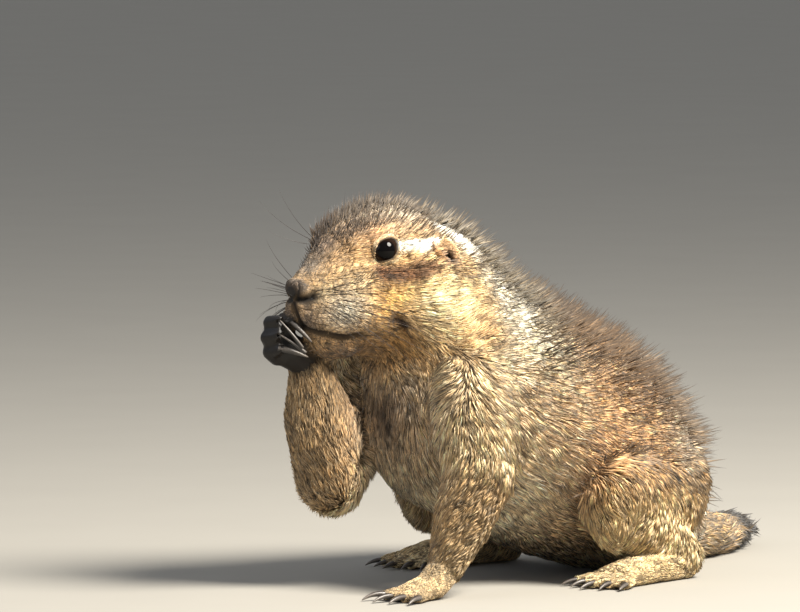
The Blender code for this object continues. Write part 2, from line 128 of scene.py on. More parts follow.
def head_axes():
    """The head's axes in rows: back from the nose, out to its left, and up."""
    turn, tip = HEAD_TURN, HEAD_TIP_DOWN
    back = (cos(turn) * cos(tip), sin(turn) * cos(tip), sin(tip))
    left = (sin(turn), -cos(turn), 0.0)
    up = (-cos(turn) * sin(tip), -sin(turn) * sin(tip), cos(tip))
    return np.array((back, left, up))


HEAD_AXES = head_axes()


def node_points(name):
    """A CAD node's corners in millimetres."""
    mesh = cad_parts[name].data
    points = np.empty(3 * len(mesh.vertices))
    mesh.vertices.foreach_get("co", points)
    return points.reshape(-1, 3) / MM


def middle(name):
    """The middle of a CAD node's box in millimetres."""
    low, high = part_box(name)
    return (np.array(low) + np.array(high)) / 2 / MM


NOSE_TIP = middle("eye_left") - EYE_PLACE @ HEAD_AXES


def on_head(points):
    """Row places as places on the head."""
    return (points - NOSE_TIP) @ HEAD_AXES.T


def from_head(places):
    """Places on the head as row places."""
    return np.asarray(places) @ HEAD_AXES + NOSE_TIP


def ripple(points, wavelength, seed):
    """A smooth random field from -1 to 1: the mean of twelve sine waves of that length that run
    in random directions."""
    draw = np.random.default_rng(seed)
    ways = unit(draw.normal(size=(12, 3))) * (2 * pi / wavelength) * draw.uniform(0.6, 1.5, (12, 1))
    waves = np.sin(points @ ways.T + draw.uniform(0, 2 * pi, 12))
    return np.clip(waves.mean(axis=1) * 2.2, -1, 1)


def bell(points, place, reach):
    """1 at the place, falling as exp(-d squared) with d the distance over the reach, and mirrored
    on the second axis."""
    folded = points.copy()
    folded[:, 1] = np.abs(folded[:, 1])
    away = (folded - np.array(place)) / np.array(reach)
    return np.exp(-(away**2).sum(axis=1))


def from_path(points, path, on_skin=True):
    """The way to each point from the nearest place of a path's straight runs, mirrored on the
    second axis. The path's own points first move to the nearest of the points."""
    folded = points.copy()
    folded[:, 1] = np.abs(folded[:, 1])
    path = [np.array(place, dtype=float) for place in path]
    if on_skin:
        path = [folded[((folded - place) ** 2).sum(axis=1).argmin()] for place in path]
    best, way = np.full(len(points), np.inf), np.zeros_like(folded)
    for start, end in zip(path[:-1], path[1:]):
        run = end - start
        share = np.clip((folded - start) @ run / max(run @ run, 1e-9), 0, 1)
        offset = folded - start - share[:, None] * run
        gap = np.linalg.norm(offset, axis=1)
        way = np.where((gap < best)[:, None], offset, way)
        best = np.minimum(best, gap)
    way[:, 1] *= np.where(points[:, 1] < 0, -1, 1)
    return way


def to_path(points, path):
    """Each point's distance to a path on the head."""
    return np.linalg.norm(from_path(points, path), axis=1)


def step(values, low, high):
    """0 below low, 1 above high and smooth between them."""
    share = np.clip((values - low) / (high - low), 0, 1)
    return share * share * (3 - 2 * share)


# Meshes


def make_mesh(name, points, faces):
    """A smooth mesh of triangles from whole arrays in millimetres."""
    mesh = bpy.data.meshes.new(name)
    mesh.vertices.add(len(points))
    mesh.vertices.foreach_set("co", (points * MM).ravel())
    mesh.loops.add(faces.size)
    mesh.loops.foreach_set("vertex_index", faces.ravel().astype(np.int32))
    mesh.polygons.add(len(faces))
    mesh.polygons.foreach_set("loop_start", np.arange(0, faces.size, 3, dtype=np.int32))
    mesh.polygons.foreach_set("use_smooth", np.full(len(faces), True))
    mesh.update(calc_edges=True)
    mesh.validate()
    return mesh


def paint(mesh, name, colours):
    """A colour for each point, kept as an attribute."""
    layer = mesh.color_attributes.new(name, "FLOAT_COLOR", "POINT")
    layer.data.foreach_set("color", np.c_[colours, np.ones(len(colours))].ravel())


def keep(mesh, name, values):
    """A number or a vector for each point, kept as an attribute."""
    if values.ndim == 1:
        layer = mesh.attributes.new(name, "FLOAT", "POINT")
        layer.data.foreach_set("value", values)
    else:
        layer = mesh.attributes.new(name, "FLOAT_VECTOR", "POINT")
        layer.data.foreach_set("vector", values.ravel())


def kept(mesh, name):
    """What keep or paint stored, as an array."""
    layer = mesh.attributes[name]
    if layer.data_type == "FLOAT":
        values = np.empty(len(layer.data))
        layer.data.foreach_get("value", values)
        return values
    size, field = (4, "color") if layer.data_type == "FLOAT_COLOR" else (3, "vector")
    values = np.empty(size * len(layer.data))
    layer.data.foreach_get(field, values)
    return values.reshape(-1, size)[:, :3]


def place_piece(name, mesh, material, replaced=()):
    """Links a finished mesh as a piece of the animal."""
    piece = bpy.data.objects.new(name, mesh)
    bpy.context.scene.collection.objects.link(piece)
    mesh.materials.clear()
    mesh.materials.append(material)
    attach(piece, "root")
    if replaced:
        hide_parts(*replaced)
    return piece


def tube(path, radii, sides, squash=1.0):
    """A closed tube: rings of that many sides about the path, with a point at each end. A ring's
    point is the path's point plus radius times (cos a side + squash sin a up)."""
    along = unit(np.gradient(path, axis=0))
    side = unit(np.cross(along, (0.13, 0.29, 0.95)))
    up = np.cross(side, along)
    angles = np.linspace(0, 2 * pi, sides, endpoint=False)
    around, over = np.cos(angles)[None, :, None], np.sin(angles)[None, :, None]
    ring = around * side[:, None] + squash * over * up[:, None]
    points = path[:, None] + radii[:, None, None] * ring
    grid = np.arange(len(path) * sides).reshape(len(path), sides)
    turned = np.roll(grid, -1, axis=1)
    quads = np.stack([grid[:-1], grid[1:], turned[1:], turned[:-1]], axis=-1).reshape(-1, 4)
    triangles = np.r_[quads[:, [0, 1, 2]], quads[:, [0, 2, 3]]]
    first, last = grid.size, grid.size + 1
    caps = [np.stack([np.full(sides, first), grid[0], turned[0]], axis=-1)]
    caps.append(np.stack([np.full(sides, last), turned[-1], grid[-1]], axis=-1))
    points = np.r_[points.reshape(-1, 3), path[:1], path[-1:]]
    return points, np.r_[triangles, *caps]


def joined(shapes):
    """Several (points, triangles) as one."""
    starts = np.cumsum([0] + [len(points) for points, _ in shapes[:-1]])
    points = np.concatenate([points for points, _ in shapes])
    return points, np.concatenate([faces + start for (_, faces), start in zip(shapes, starts)])


# Materials


def add_node(tree, kind, settings=None, **inputs):
    """Adds a node, sets its properties, and sets or links its inputs. An input is named in lower
    case with _ for a space, or i0, i1 by its number."""
    node = tree.nodes.new(kind)
    for key, value in (settings or {}).items():
        setattr(node, key, value)
    named = {socket.name.lower().replace(" ", "_"): socket for socket in reversed(node.inputs)}
    for key, value in inputs.items():
        socket = node.inputs[int(key[1:])] if key[0] == "i" and key[1:].isdigit() else named[key]
        if isinstance(value, bpy.types.NodeSocket):
            tree.links.new(value, socket)
        else:
            socket.default_value = value
    return node


def new_material(name):
    """An empty node material and its tree."""
    material = bpy.data.materials.new(name)
    material.use_nodes = True
    material.node_tree.nodes.clear()
    return material, material.node_tree


def finish_material(tree, **inputs):
    """Adds the shader with those inputs and the output."""
    shader = add_node(tree, "ShaderNodeBsdfPrincipled", **inputs)
    add_node(tree, "ShaderNodeOutputMaterial", surface=shader.outputs[0])


def pattern(tree, wavelength_mm, detail=2.0):
    """A noise pattern on Object coordinates whose features are that many millimetres."""
    place = add_node(tree, "ShaderNodeTexCoord").outputs["Object"]
    scale = 1 / (wavelength_mm * MM)
    return add_node(tree, "ShaderNodeTexNoise", vector=place, scale=scale, detail=detail)


def ranged(tree, value, low, high, out_low, out_high):
    """A value from low to high brought to the range from out_low to out_high."""
    limits = {"from_min": low, "from_max": high, "to_min": out_low, "to_max": out_high}
    return add_node(tree, "ShaderNodeMapRange", value=value, **limits).outputs[0]


def hex_rgba(code):
    """A hex colour as a socket's four numbers."""
    return (*linear(code), 1.0)


def fur_material(name):
    """Hair: keratin that scatters light, in the coat's painted colour, which holds painted light and
    shade besides its own pattern. Fine light and dark hairs about 1.2 mm apart break up each lock."""
    material, tree = new_material(name)
    marking = add_node(tree, "ShaderNodeAttribute", {"attribute_name": "Markings"})
    strands = pattern(tree, 1.2, 3.0)
    shade = ranged(tree, strands.outputs[0], 0.3, 0.7, 0.86, 1.14)
    colour = add_node(tree, "ShaderNodeVectorMath", {"operation": "SCALE"}, i0=marking.outputs["Color"])
    tree.links.new(shade, colour.inputs["Scale"])
    finish_material(
        tree,
        base_color=colour.outputs[0],
        roughness=0.62,
        ior=1.55,
        specular_ior_level=0.25,
        sheen_weight=0.12,
        sheen_roughness=0.5,
    )
    return material


def skin_material(name):
    """Skin: matte under the fur, and fine-grained dark leather where it is bare. Short hairs
    0.6 mm apart and leather grain 0.42 mm across show as bump."""
    material, tree = new_material(name)
    marking = add_node(tree, "ShaderNodeAttribute", {"attribute_name": "Markings"})
    bare = add_node(tree, "ShaderNodeAttribute", {"attribute_name": "Bare"})
    hairs = pattern(tree, 0.6, 4.0)
    grain = add_node(
        tree,
        "ShaderNodeTexVoronoi",
        vector=add_node(tree, "ShaderNodeTexCoord").outputs["Object"],
        scale=1 / (0.42 * MM),
    )
    shade = ranged(tree, hairs.outputs[0], 0.3, 0.7, 0.72, 1.18)
    colour = add_node(tree, "ShaderNodeVectorMath", {"operation": "SCALE"}, i0=marking.outputs["Color"])
    tree.links.new(shade, colour.inputs["Scale"])
    relief = add_node(
        tree,
        "ShaderNodeMix",
        {"data_type": "FLOAT"},
        factor=bare.outputs["Fac"],
        i2=hairs.outputs[0],
        i3=grain.outputs["Distance"],
    )
    bump = add_node(tree, "ShaderNodeBump", height=relief.outputs[0], strength=0.5, distance=0.12 * MM)
    rough = ranged(tree, bare.outputs["Fac"], 0.0, 1.0, 0.8, 0.46)
    finish_material(
        tree,
        base_color=colour.outputs[0],
        roughness=rough,
        normal=bump.outputs[0],
        ior=1.45,
        specular_ior_level=0.4,
    )
    return material


def eye_material():
    """A wet cornea over a dark brown iris and a wide black pupil: a clear, smooth gloss."""
    material, tree = new_material("wet_eye")
    depth = add_node(tree, "ShaderNodeAttribute", {"attribute_name": "Gaze"})
    streaks = pattern(tree, 0.7, 3.0)
    ramp = add_node(tree, "ShaderNodeValToRGB")
    ramp.color_ramp.elements[0].position = 0.56
    ramp.color_ramp.elements[0].color = hex_rgba("070505")
    ramp.color_ramp.elements[1].position = 0.72
    ramp.color_ramp.elements[1].color = hex_rgba("24150B")
    edge = ramp.color_ramp.elements.new(0.97)
    edge.color = hex_rgba("0B0706")
    tree.links.new(depth.outputs["Fac"], ramp.inputs[0])
    colour = add_node(
        tree,
        "ShaderNodeMix",
        {"data_type": "RGBA", "blend_type": "MULTIPLY"},
        factor=0.5,
        i6=ramp.outputs[0],
        i7=streaks.outputs["Color"],
    )
    finish_material(
        tree,
        base_color=colour.outputs[2],
        roughness=0.07,
        ior=1.376,
        specular_ior_level=0.22,
    )
    return material


def horn_material():
    """Claw: dark keratin grown in thin layers, which gives streaks 0.5 mm apart, a satin shine, a
    paler worn tip, and painted highlights in pale stripes along its edges."""
    material, tree = new_material("claw_horn")
    wear_and_sheen = add_node(tree, "ShaderNodeAttribute", {"attribute_name": "Wear"})
    streaks = pattern(tree, 0.5, 3.0)
    mixed = add_node(
        tree,
        "ShaderNodeMath",
        {"operation": "MULTIPLY"},
        i0=wear_and_sheen.outputs["Fac"],
        i1=streaks.outputs[0],
    )
    colour = add_node(
        tree,
        "ShaderNodeMix",
        {"data_type": "RGBA"},
        factor=mixed.outputs[0],
        i6=hex_rgba("1A1716"),
        i7=hex_rgba("8B8178"),
    )
    bump = add_node(tree, "ShaderNodeBump", height=streaks.outputs[0], strength=0.4, distance=0.05 * MM)
    finish_material(tree, base_color=colour.outputs[2], roughness=0.38, ior=1.55, normal=bump.outputs[0])
    return material


def whisker_material():
    """Whisker: a stiff dark hair, polished by use, with fine changes of tone along it."""
    material, tree = new_material("whisker")
    tone = pattern(tree, 4.0)
    colour = add_node(
        tree,
        "ShaderNodeMix",
        {"data_type": "RGBA"},
        factor=tone.outputs[0],
        i6=hex_rgba("15100D"),
        i7=hex_rgba("3A2C22"),
    )
    finish_material(tree, base_color=colour.outputs[2], roughness=0.4, ior=1.55)
    return material


def floor_material(colour):
    """Matte paper-like floor with a very faint mottling 60 mm across."""
    material, tree = new_material("studio_floor")
    tone = pattern(tree, 60.0)
    shade = add_node(tree, "ShaderNodeMapRange", value=tone.outputs[0], to_min=0.97, to_max=1.03)
    mixed = add_node(tree, "ShaderNodeVectorMath", {"operation": "SCALE"}, i0=colour)
    tree.links.new(shade.outputs[0], mixed.inputs["Scale"])
    finish_material(tree, base_color=mixed.outputs[0], roughness=0.9)
    return material


# The coat: what each part of the body wears

# flow is the lie of the hair, length its length, lift its angle off the skin in degrees,
# width a tuft's width, colour its colour and grizzle the share of tufts with black tips.
Coat = namedtuple("Coat", "flow length lift width colour grizzle")

BACKWARD = (0.80, 0.0, -0.45)
DOWNWARD = (0.15, 0.0, -1.0)

COATS = {
    "head": Coat(BACKWARD, 4.2, 19, 0.20, "B59367", 0.16),
    "neck": Coat((0.94, 0.0, -0.30), 7.0, 25, 0.27, "E4D6BC", 0.18),
    "chest": Coat((0.90, 0.0, -0.42), 8.0, 26, 0.29, "D8C3A2", 0.16),
    "belly": Coat((0.98, 0.0, -0.16), 7.5, 24, 0.29, "CFA77C", 0.24),
    "rump": Coat((0.90, 0.0, -0.35), 8.0, 24, 0.30, "EAD0B2", 0.28),
    "tail_base": Coat(None, 9.0, 18, 0.36, "B8966A", 0.34),
    "tail_tip": Coat(None, 14.0, 16, 0.38, "2C241D", 1.0),
    "ear": Coat(BACKWARD, 1.7, 18, 0.18, "B28C60", 0.05),
    "nose": Coat(BACKWARD, 1.0, 12, 0.22, "6B5A49", 0.0),
    "upper_arm": Coat(DOWNWARD, 8.0, 25, 0.28, "DAC096", 0.08),
    "forearm": Coat(None, 6.0, 20, 0.26, "A38863", 0.08),
    "hand": Coat(None, 1.6, 14, 0.24, "231D1A", 0.0),
    "thigh": Coat((0.75, 0.0, -0.65), 7.5, 22, 0.29, "B9996F", 0.22),
    "shank": Coat(None, 6.0, 18, 0.30, "C9AC7E", 0.08),
    "foot": Coat(None, 2.4, 14, 0.25, "B89A6B", 0.02),
}
NEXT_PART = {"forearm": "hand", "shank": "foot", "tail_base": "tail_tip"}

# A patch of colour: its place and reach on the head or in the row frame, colour and strength.
Patch = namedtuple("Patch", "place reach colour strength")

HEAD_PATCHES = [
    # The next two patches make the crown pale: partly the coat's own pale tone, partly a painted highlight
    # on the top of the head.
    Patch((54, 8, 13), (13, 14, 8), "D8CAB7", 0.8),
    Patch((39, 4, 16), (12, 9, 7), "E0CBB2", 0.8),
    # The next two patches, darker grey-brown on the forehead and the bridge of the nose, are painted
    # shade.
    Patch((28, 6, 13), (8, 6, 5), "6C5644", 0.75),
    Patch((18, 2, 10), (9, 6, 6), "5F5045", 0.9),
    Patch((9, 2, 6), (7, 5, 5), "5C5751", 0.9),
    Patch((35, 12, 9), (7, 5, 4), "9A6F47", 0.65),
    Patch((47, 26, -8), (10, 8, 5), "9F7954", 0.5),
    Patch((31, 20, -13), (11, 9, 7), "F2B75C", 0.85),
    # Near-white at the back of the cheek: the pale fur there, lightened further as painted light on fur
    # that faces up.
    Patch((43, 27, -18), (14, 10, 12), "FFE4B2", 0.95),
    Patch((34, 16, -28), (12, 9, 7), "B68A4E", 0.8),
    Patch((10, 7, -4), (6, 5, 4), "7E7052", 0.8),
    Patch((20, 12, -3), (8, 6, 5), "96886D", 0.7),
    Patch((14, 11, -12), (9, 7, 6), "BDB8A8", 0.85),
    # Dark grey on the upper lip beside the cleft: grey lip skin, darkened further as painted shade of the
    # muzzle's front.
    Patch((4, 3, -11), (4, 4, 6), "6A615C", 0.8),
    Patch((12, 5, -26), (8, 8, 5), "80684F", 0.95),
    # Dark brown under the jaw: painted shade of the throat under the chin.
    Patch((22, 8, -31), (9, 9, 6), "6A4F35", 0.8),
    Patch((51, 27, -4), (3, 4, 4), "937770", 0.7),
]

BODY_PATCHES = [
    Patch((-52, 0, 112), (50, 15, 16), "C6B39B", 0.8),
    Patch((0, 0, 100), (60, 22, 30), "C2AB8E", 0.7),
    # Pale cream on the top of each shoulder: the cream coat there, lightened as painted sunlight.
    Patch((-58, 30, 96), (20, 16, 20), "EFE1C6", 0.6),
    # Browner on the front of each shoulder beside the cheek: painted shadow of the cheek.
    Patch((-78, 36, 82), (12, 14, 12), "C4AA86", 0.6),
    Patch((-44, 42, 68), (26, 18, 14), "D6B288", 0.6),
    Patch((-24, 46, 52), (34, 20, 18), "CB9E6E", 0.65),
    # Very dark brown on the middle of the chest: painted shadow under the chin.
    Patch((-86, 0, 66), (14, 20, 20), "432A17", 0.95),
    Patch((-80, 16, 55), (12, 12, 18), "D6BA9A", 0.7),
    Patch((-20, 0, 2), (90, 60, 18), "DDC9A2", 0.75),
    Patch((-100, 34, 5), (22, 17, 11), "BFA47B", 0.95),
]

# A band of colour along a path on the head: its half-width, colour and strength.
Band = namedtuple("Band", "path half colour strength")

HEAD_BANDS = [
    Band([(30, 14.5, -3), (36, 19, -5.5), (44, 24.5, -6.5)], 3.0, "6E462E", 0.85),
    Band([(41, 18.4, 3.6), (45, 21.4, 2.8), (50, 24.6, 1.4)], 1.9, "FFFBEA", 1.0),
    # Near-white behind the ear: pale fur painted as the bright highlight on it.
    Band([(59, 20, 6), (60.5, 23.5, 1.5), (62, 26.5, -4.5)], 4.2, "FCF3E0", 0.95),
    Band([(49.6, 25, 0.6), (48.8, 25.6, -3), (50.4, 26.6, -7)], 1.3, "C8945E", 0.8),
    Band([(53.8, 28, 2.2), (55.4, 30.4, -2.6), (53.6, 29.6, -8)], 0.9, "F2DDB0", 0.9),
]

# A groove on the head: its path, radius and depth, and the colour and strength of the painted shade in it.
Groove = namedtuple("Groove", "path radius depth colour strength")

NOSTRIL_PATH = [(1.0, 1.6, -4.1), (2.4, 3.8, -4.7), (4.2, 5.3, -4.5), (5.6, 6.2, -3.8)]
LIP_PATH = [
    (4.0, 0.8, -14.5),
    (6.0, 4.2, -17.4),
    (10, 6.4, -20.2),
    (15, 8.6, -22.2),
    (20, 10.5, -22.8),
]
EAR_CUP_PATH = [(52.0, 27.6, -2.4), (52.8, 27.6, -6.2)]

# In order: nostril, front of the nose, cleft, mouth, crease behind the mouth, ear's opening.
# Their dark colours are painted shade in the hollows, and at the nostrils and the mouth also the darker
# skin there.
GROOVES = [
    Groove(NOSTRIL_PATH, 1.3, 2.2, "080606", 1.0),
    Groove([(1.8, 2.8, 3.2), (1.4, 3.3, 0.0), (1.0, 2.2, -3.6)], 0.6, 0.4, "1A1413", 0.9),
    Groove([(1.6, 0, -5.5), (3.0, 0, -11.0), (4.0, 0.8, -14.5)], 0.7, 0.9, "241C1A", 0.9),
    Groove(LIP_PATH, 1.1, 1.6, "1F1612", 0.95),
    Groove([(30.5, 18.6, -19.5), (32.5, 19.0, -23.5)], 2.0, 1.6, "3A210E", 1.0),
    Groove(EAR_CUP_PATH, 1.0, 1.6, "1A1210", 1.0),
]
# The grooves that grow no hair: the nostril, the cleft under it and the mouth.
HAIRLESS_GROOVES = [0, 2, 3]
NOSE_PAD = Patch((0.0, 0, -1.8), (1.9, 2.8, 3.6), "2E2624", 1.0)

# Shallow hollows of the head: their place, reach and depth.
HOLLOWS = [
    ((9, 3, -23), (5, 5, 3), 1.4),
    ((12, 0, 6), (8, 5, 4), 1.2),
    ((27, 12.5, 7), (5, 4, 5), 0.8),
    ((44, 0, 17), (20, 16, 7), 1.2),
]

# Where the hair parts on each shoulder, in the row frame, and how far the parting reaches.
PARTING = [(-73, 38, 85), (-82, 38, 74)]
PARTING_REACH = 17.0


def part_of(node):
    """A node's name without its side."""
    return node.removesuffix("_left").removesuffix("_right")


def flow_of(node):
    """The lie of the hair on a node: the coat's own, or towards the middle of the next part."""
    part = part_of(node)
    side = node[len(part) :]
    if COATS[part].flow is not None:
        return np.array(COATS[part].flow)
    if part in NEXT_PART:
        return unit(middle(NEXT_PART[part] + side) - middle(node))
    if part == "tail_tip":
        return unit(middle("tail_tip") - middle("tail_base"))
    return unit(np.mean([middle(claw) for claw in CLAWS if node in claw], axis=0) - middle(node))


def rise(length, lift):
    """How far a tuft's tip stands off the skin: two fifths of it at the lift, the rest at a third."""
    return length * (0.4 * np.sin(lift) + 0.6 * np.sin(lift / 3))


# The skin


def baked(mesh, *modifiers):
    """The mesh after modifiers, each a name, a type and its settings."""
    carrier = bpy.data.objects.new("carrier", mesh)
    bpy.context.scene.collection.objects.link(carrier)
    for kind, settings in modifiers:
        modifier = carrier.modifiers.new(kind, kind)
        for key, value in settings.items():
            setattr(modifier, key, value)
    graph = bpy.context.evaluated_depsgraph_get()
    result = bpy.data.meshes.new_from_object(carrier.evaluated_get(graph), depsgraph=graph)
    bpy.data.objects.remove(carrier)
    return result


def read_mesh(mesh):
    """A triangle mesh's points in millimetres, triangles and edges."""
    points = np.empty(3 * len(mesh.vertices))
    mesh.vertices.foreach_get("co", points)
    faces = np.empty(3 * len(mesh.polygons), dtype=np.int32)
    mesh.polygons.foreach_get("vertices", faces)
    links = np.empty(2 * len(mesh.edges), dtype=np.int32)
    mesh.edges.foreach_get("vertices", links)
    return points.reshape(-1, 3) / MM, faces.reshape(-1, 3), links.reshape(-1, 2)


def point_normals(points, faces):
    """Each point's normal, the sum of its triangles' by area."""
    across = np.cross(points[faces[:, 1]] - points[faces[:, 0]], points[faces[:, 2]] - points[faces[:, 0]])
    total = np.zeros_like(points)
    for axis in range(3):
        for corner in range(3):
            total[:, axis] += np.bincount(faces[:, corner], across[:, axis], len(points))
    return unit(total)


def spread(values, links, rounds):
    """Each value made the mean of its own and its neighbours', so many times over."""
    count = 1 + np.bincount(links.ravel(), minlength=len(values))
    for _ in range(rounds):
        total = values.copy()
        for column in range(values.shape[1]):
            total[:, column] += np.bincount(links[:, 0], values[links[:, 1], column], len(values))
            total[:, column] += np.bincount(links[:, 1], values[links[:, 0], column], len(values))
        values = total / count[:, None]
    return values


def outer_form():
    """The flesh nodes and eyeballs as one closed surface at the tips of the coat. The eyes fill
    their sockets until the lids are drawn."""
    whole = bmesh.new()
    for name in FLESH + EYES:
        part = bmesh.new()
        part.from_mesh(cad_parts[name].data)
        bmesh.ops.remove_doubles(part, verts=part.verts, dist=1e-6)
        merged = bpy.data.meshes.new(name)
        part.to_mesh(merged)
        part.free()
        whole.from_mesh(merged)
        bpy.data.meshes.remove(merged)
    mesh = bpy.data.meshes.new("flesh")
    whole.to_mesh(mesh)
    whole.free()
    return baked(
        mesh,
        ("REMESH", {"mode": "VOXEL", "voxel_size": SKIN_VOXEL * MM}),
        ("SMOOTH", {"factor": 0.5, "iterations": SKIN_SMOOTHING}),
        ("TRIANGULATE", {}),
        ("DECIMATE", {"ratio": SKIN_KEPT, "use_collapse_triangulate": True}),
    )


def refine(mesh, reach, rounds):
    """Cuts the edges near the eyes, the ears, the nose and the mouth in half, so many times."""
    bm = bmesh.new()
    bm.from_mesh(mesh)
    for _ in range(rounds):
        points = np.array([vertex.co for vertex in bm.verts]) / MM
        places = on_head(points)
        near = lid_ratio(places) < 1.9
        near |= np.linalg.norm(places - (4, 0, -7), axis=1) < reach
        near |= bell(places, (52, 27, -3), (6, 6, 7)) > 0.4
        edges = [edge for edge in bm.edges if near[edge.verts[0].index] and near[edge.verts[1].index]]
        bmesh.ops.subdivide_edges(bm, edges=edges, cuts=1, use_grid_fill=True)
        bmesh.ops.triangulate(bm, faces=bm.faces)
        bm.verts.index_update()
    bm.to_mesh(mesh)
    bm.free()
    return mesh


def eye_frame():
    """The eye's own axes on the head: along the lids from the front corner, up across them, out."""
    out = unit(EYE_OUT)
    along = unit(EYE_ALONG - out * (EYE_ALONG @ out))
    return np.array((along, np.cross(out, along) * -1, out))


def lid_ratio(places):
    """How far out from the eye's opening a place on the head is: 1 on the lids' edge, and large
    behind the ball. The opening is an almond, pointed at its front corner."""
    folded = places.copy()
    folded[:, 1] = np.abs(folded[:, 1])
    offset = folded - EYE_PLACE
    along, up, out = (unit(offset) @ eye_frame().T).T
    height = OPENING_HEIGHT * np.clip(1 - OPENING_NARROWS * np.clip(-along, 0, 1) ** 1.4, 0.2, 1)
    ratio = np.sqrt(((along - 0.01) / OPENING_LENGTH) ** 2 + ((up + 0.02) / height) ** 2)
    distance = np.linalg.norm(offset, axis=1)
    near = (out > 0) & (distance < 3 * EYE_RADIUS)
    return np.where(near, ratio * np.maximum(distance / EYE_RADIUS, 1), 9.0)


def part_weights(points, links):
    """The share of each flesh node in each skin point: 1 for the node of the nearest corner or
    triangle's middle, then blurred."""
    clouds, owner = [], []
    for index, name in enumerate(FLESH):
        corners = node_points(name)
        triangles = np.empty(3 * len(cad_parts[name].data.polygons), dtype=np.int32)
        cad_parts[name].data.polygons.foreach_get("vertices", triangles)
        clouds.append(np.r_[corners, corners[triangles.reshape(-1, 3)].mean(axis=1)])
        owner.append(np.full(len(clouds[-1]), index))
    cloud, owner = np.concatenate(clouds), np.concatenate(owner)
    tree = KDTree(len(cloud))
    for index, place in enumerate(cloud):
        tree.insert(place, index)
    tree.balance()
    nearest = np.array([tree.find(place)[1] for place in points])
    weights = np.zeros((len(points), len(FLESH)))
    weights[np.arange(len(points)), owner[nearest]] = 1.0
    return spread(weights, links, 10)


def table_mix(weights, value):
    """A value of each flesh node's coat, mixed at each point by the nodes' shares."""
    return weights @ np.array([value(name) for name in FLESH])


def head_share(weights):
    """How much of the head, nose and ears is in each point."""
    return sum(weights[:, FLESH.index(name)] for name in ("head", "nose", "ear_left", "ear_right"))


def lie_of_hair(points, normals, weights, links):
    """The direction of the hair along the skin: each part's own, on the head away from a point
    ahead of the nose, away from the eye beside it, and away from the parting on each shoulder."""
    flow = spread(table_mix(weights, flow_of), links, 40)
    places = on_head(points)
    fan = unit(places - (-6.0, 0.0, -2.0)) @ HEAD_AXES
    flow = flow + head_share(weights)[:, None] * (1.6 * fan - flow)
    folded = places * np.where(places[:, 1:2] < 0, (1, -1, 1), (1, 1, 1))
    away = unit(folded - EYE_PLACE) * np.where(places[:, 1:2] < 0, (1, -1, 1), (1, 1, 1))
    ratio = lid_ratio(places)
    flow = flow + (1.3 * np.exp(-(((ratio - 1) / 0.5) ** 2)))[:, None] * (away @ HEAD_AXES)
    way = from_path(points, PARTING, on_skin=False)
    gap = np.linalg.norm(way, axis=1)
    flow = flow + (2.2 * np.exp(-((gap / PARTING_REACH) ** 2)))[:, None] * unit(way)
    swirl = 0.28 * ripple(points, 34.0, 5) + 0.26 * ripple(points, 13.0, 6)
    flow = spread(flow, links, 12) + swirl[:, None] * np.cross(normals, flow)
    return unit(flow - normals * (flow * normals).sum(axis=1, keepdims=True))


def hair_length(points, weights):
    """The coat's length: each part's own, on the head shorter towards the nose and the eyes."""
    length = table_mix(weights, lambda name: COATS[part_of(name)].length)
    places = on_head(points)
    share = head_share(weights)
    face = 1.3 + 3.4 * step(places[:, 0], 2, 46) + 1.6 * step(-places[:, 2], 12, 30)
    length = length + share * (face - length)
    ears = sum(weights[:, FLESH.index(name)] for name in ("ear_left", "ear_right"))
    length = length + ears * (COATS["ear"].length - length)
    lips = np.minimum(to_path(places, LIP_PATH), to_path(places, NOSTRIL_PATH))
    return length * (0.3 + 0.7 * step(lid_ratio(places), 1.0, 2.4)) * (0.4 + 0.6 * step(lips, 0.8, 3.2))


def coat_colour_and_painted_light(points, weights, gaps):
    """The coat's colour at each point, linear: each part's own with the patches laid over it, some
    of them painted light and shade, then light and dark drifts 7 and 24 mm long, the bands, one of
    them a painted highlight, the eyes' rims and pale rings, the nose pad and the grooves' painted
    shade, which fades as exp(-(gap / 1.4) squared)."""
    colour = table_mix(weights, lambda name: linear(COATS[part_of(name)].colour))
    places = on_head(points)
    share = head_share(weights)
    for patch in BODY_PATCHES:
        cover = patch.strength * bell(points, patch.place, patch.reach) * (1 - share)
        cover *= 1 - bare_share(weights)
        colour = colour + cover[:, None] * (linear(patch.colour) - colour)
    near_head = np.clip(share + weights[:, FLESH.index("neck")], 0, 1)
    for patch in HEAD_PATCHES:
        cover = patch.strength * bell(places, patch.place, patch.reach) * near_head
        colour = colour + cover[:, None] * (linear(patch.colour) - colour)
    drift = 1 + 0.12 * ripple(points, 7.0, 11) + 0.10 * ripple(points, 24.0, 12)
    colour = colour * drift[:, None]
    for band in HEAD_BANDS:
        cover = band.strength * (1 - step(to_path(places, band.path), 0.3 * band.half, 1.5 * band.half))
        colour = colour + (cover * near_head)[:, None] * (linear(band.colour) - colour)
    ratio = lid_ratio(places)
    ring = np.exp(-(((ratio - 1.32) / 0.12) ** 2)) * 0.65
    colour = colour + ring[:, None] * (linear("DECBA6") - colour)
    rim = 1 - step(ratio, 1.04, 1.16)
    colour = colour + rim[:, None] * (linear("1B1412") - colour)
    pad = nose_pad(places) * share
    colour = colour + pad[:, None] * (linear(NOSE_PAD.colour) - colour)
    for groove, gap in zip(GROOVES, gaps):
        cover = groove.strength * np.exp(-((gap / 1.4) ** 2))
        colour = colour + (cover * share)[:, None] * (linear(groove.colour) - colour)
    return colour


def nose_pad(places):
    """1 on the bare front of the nose, 0 past it."""
    return step(bell(places, NOSE_PAD.place, NOSE_PAD.reach), 0.28, 0.5)


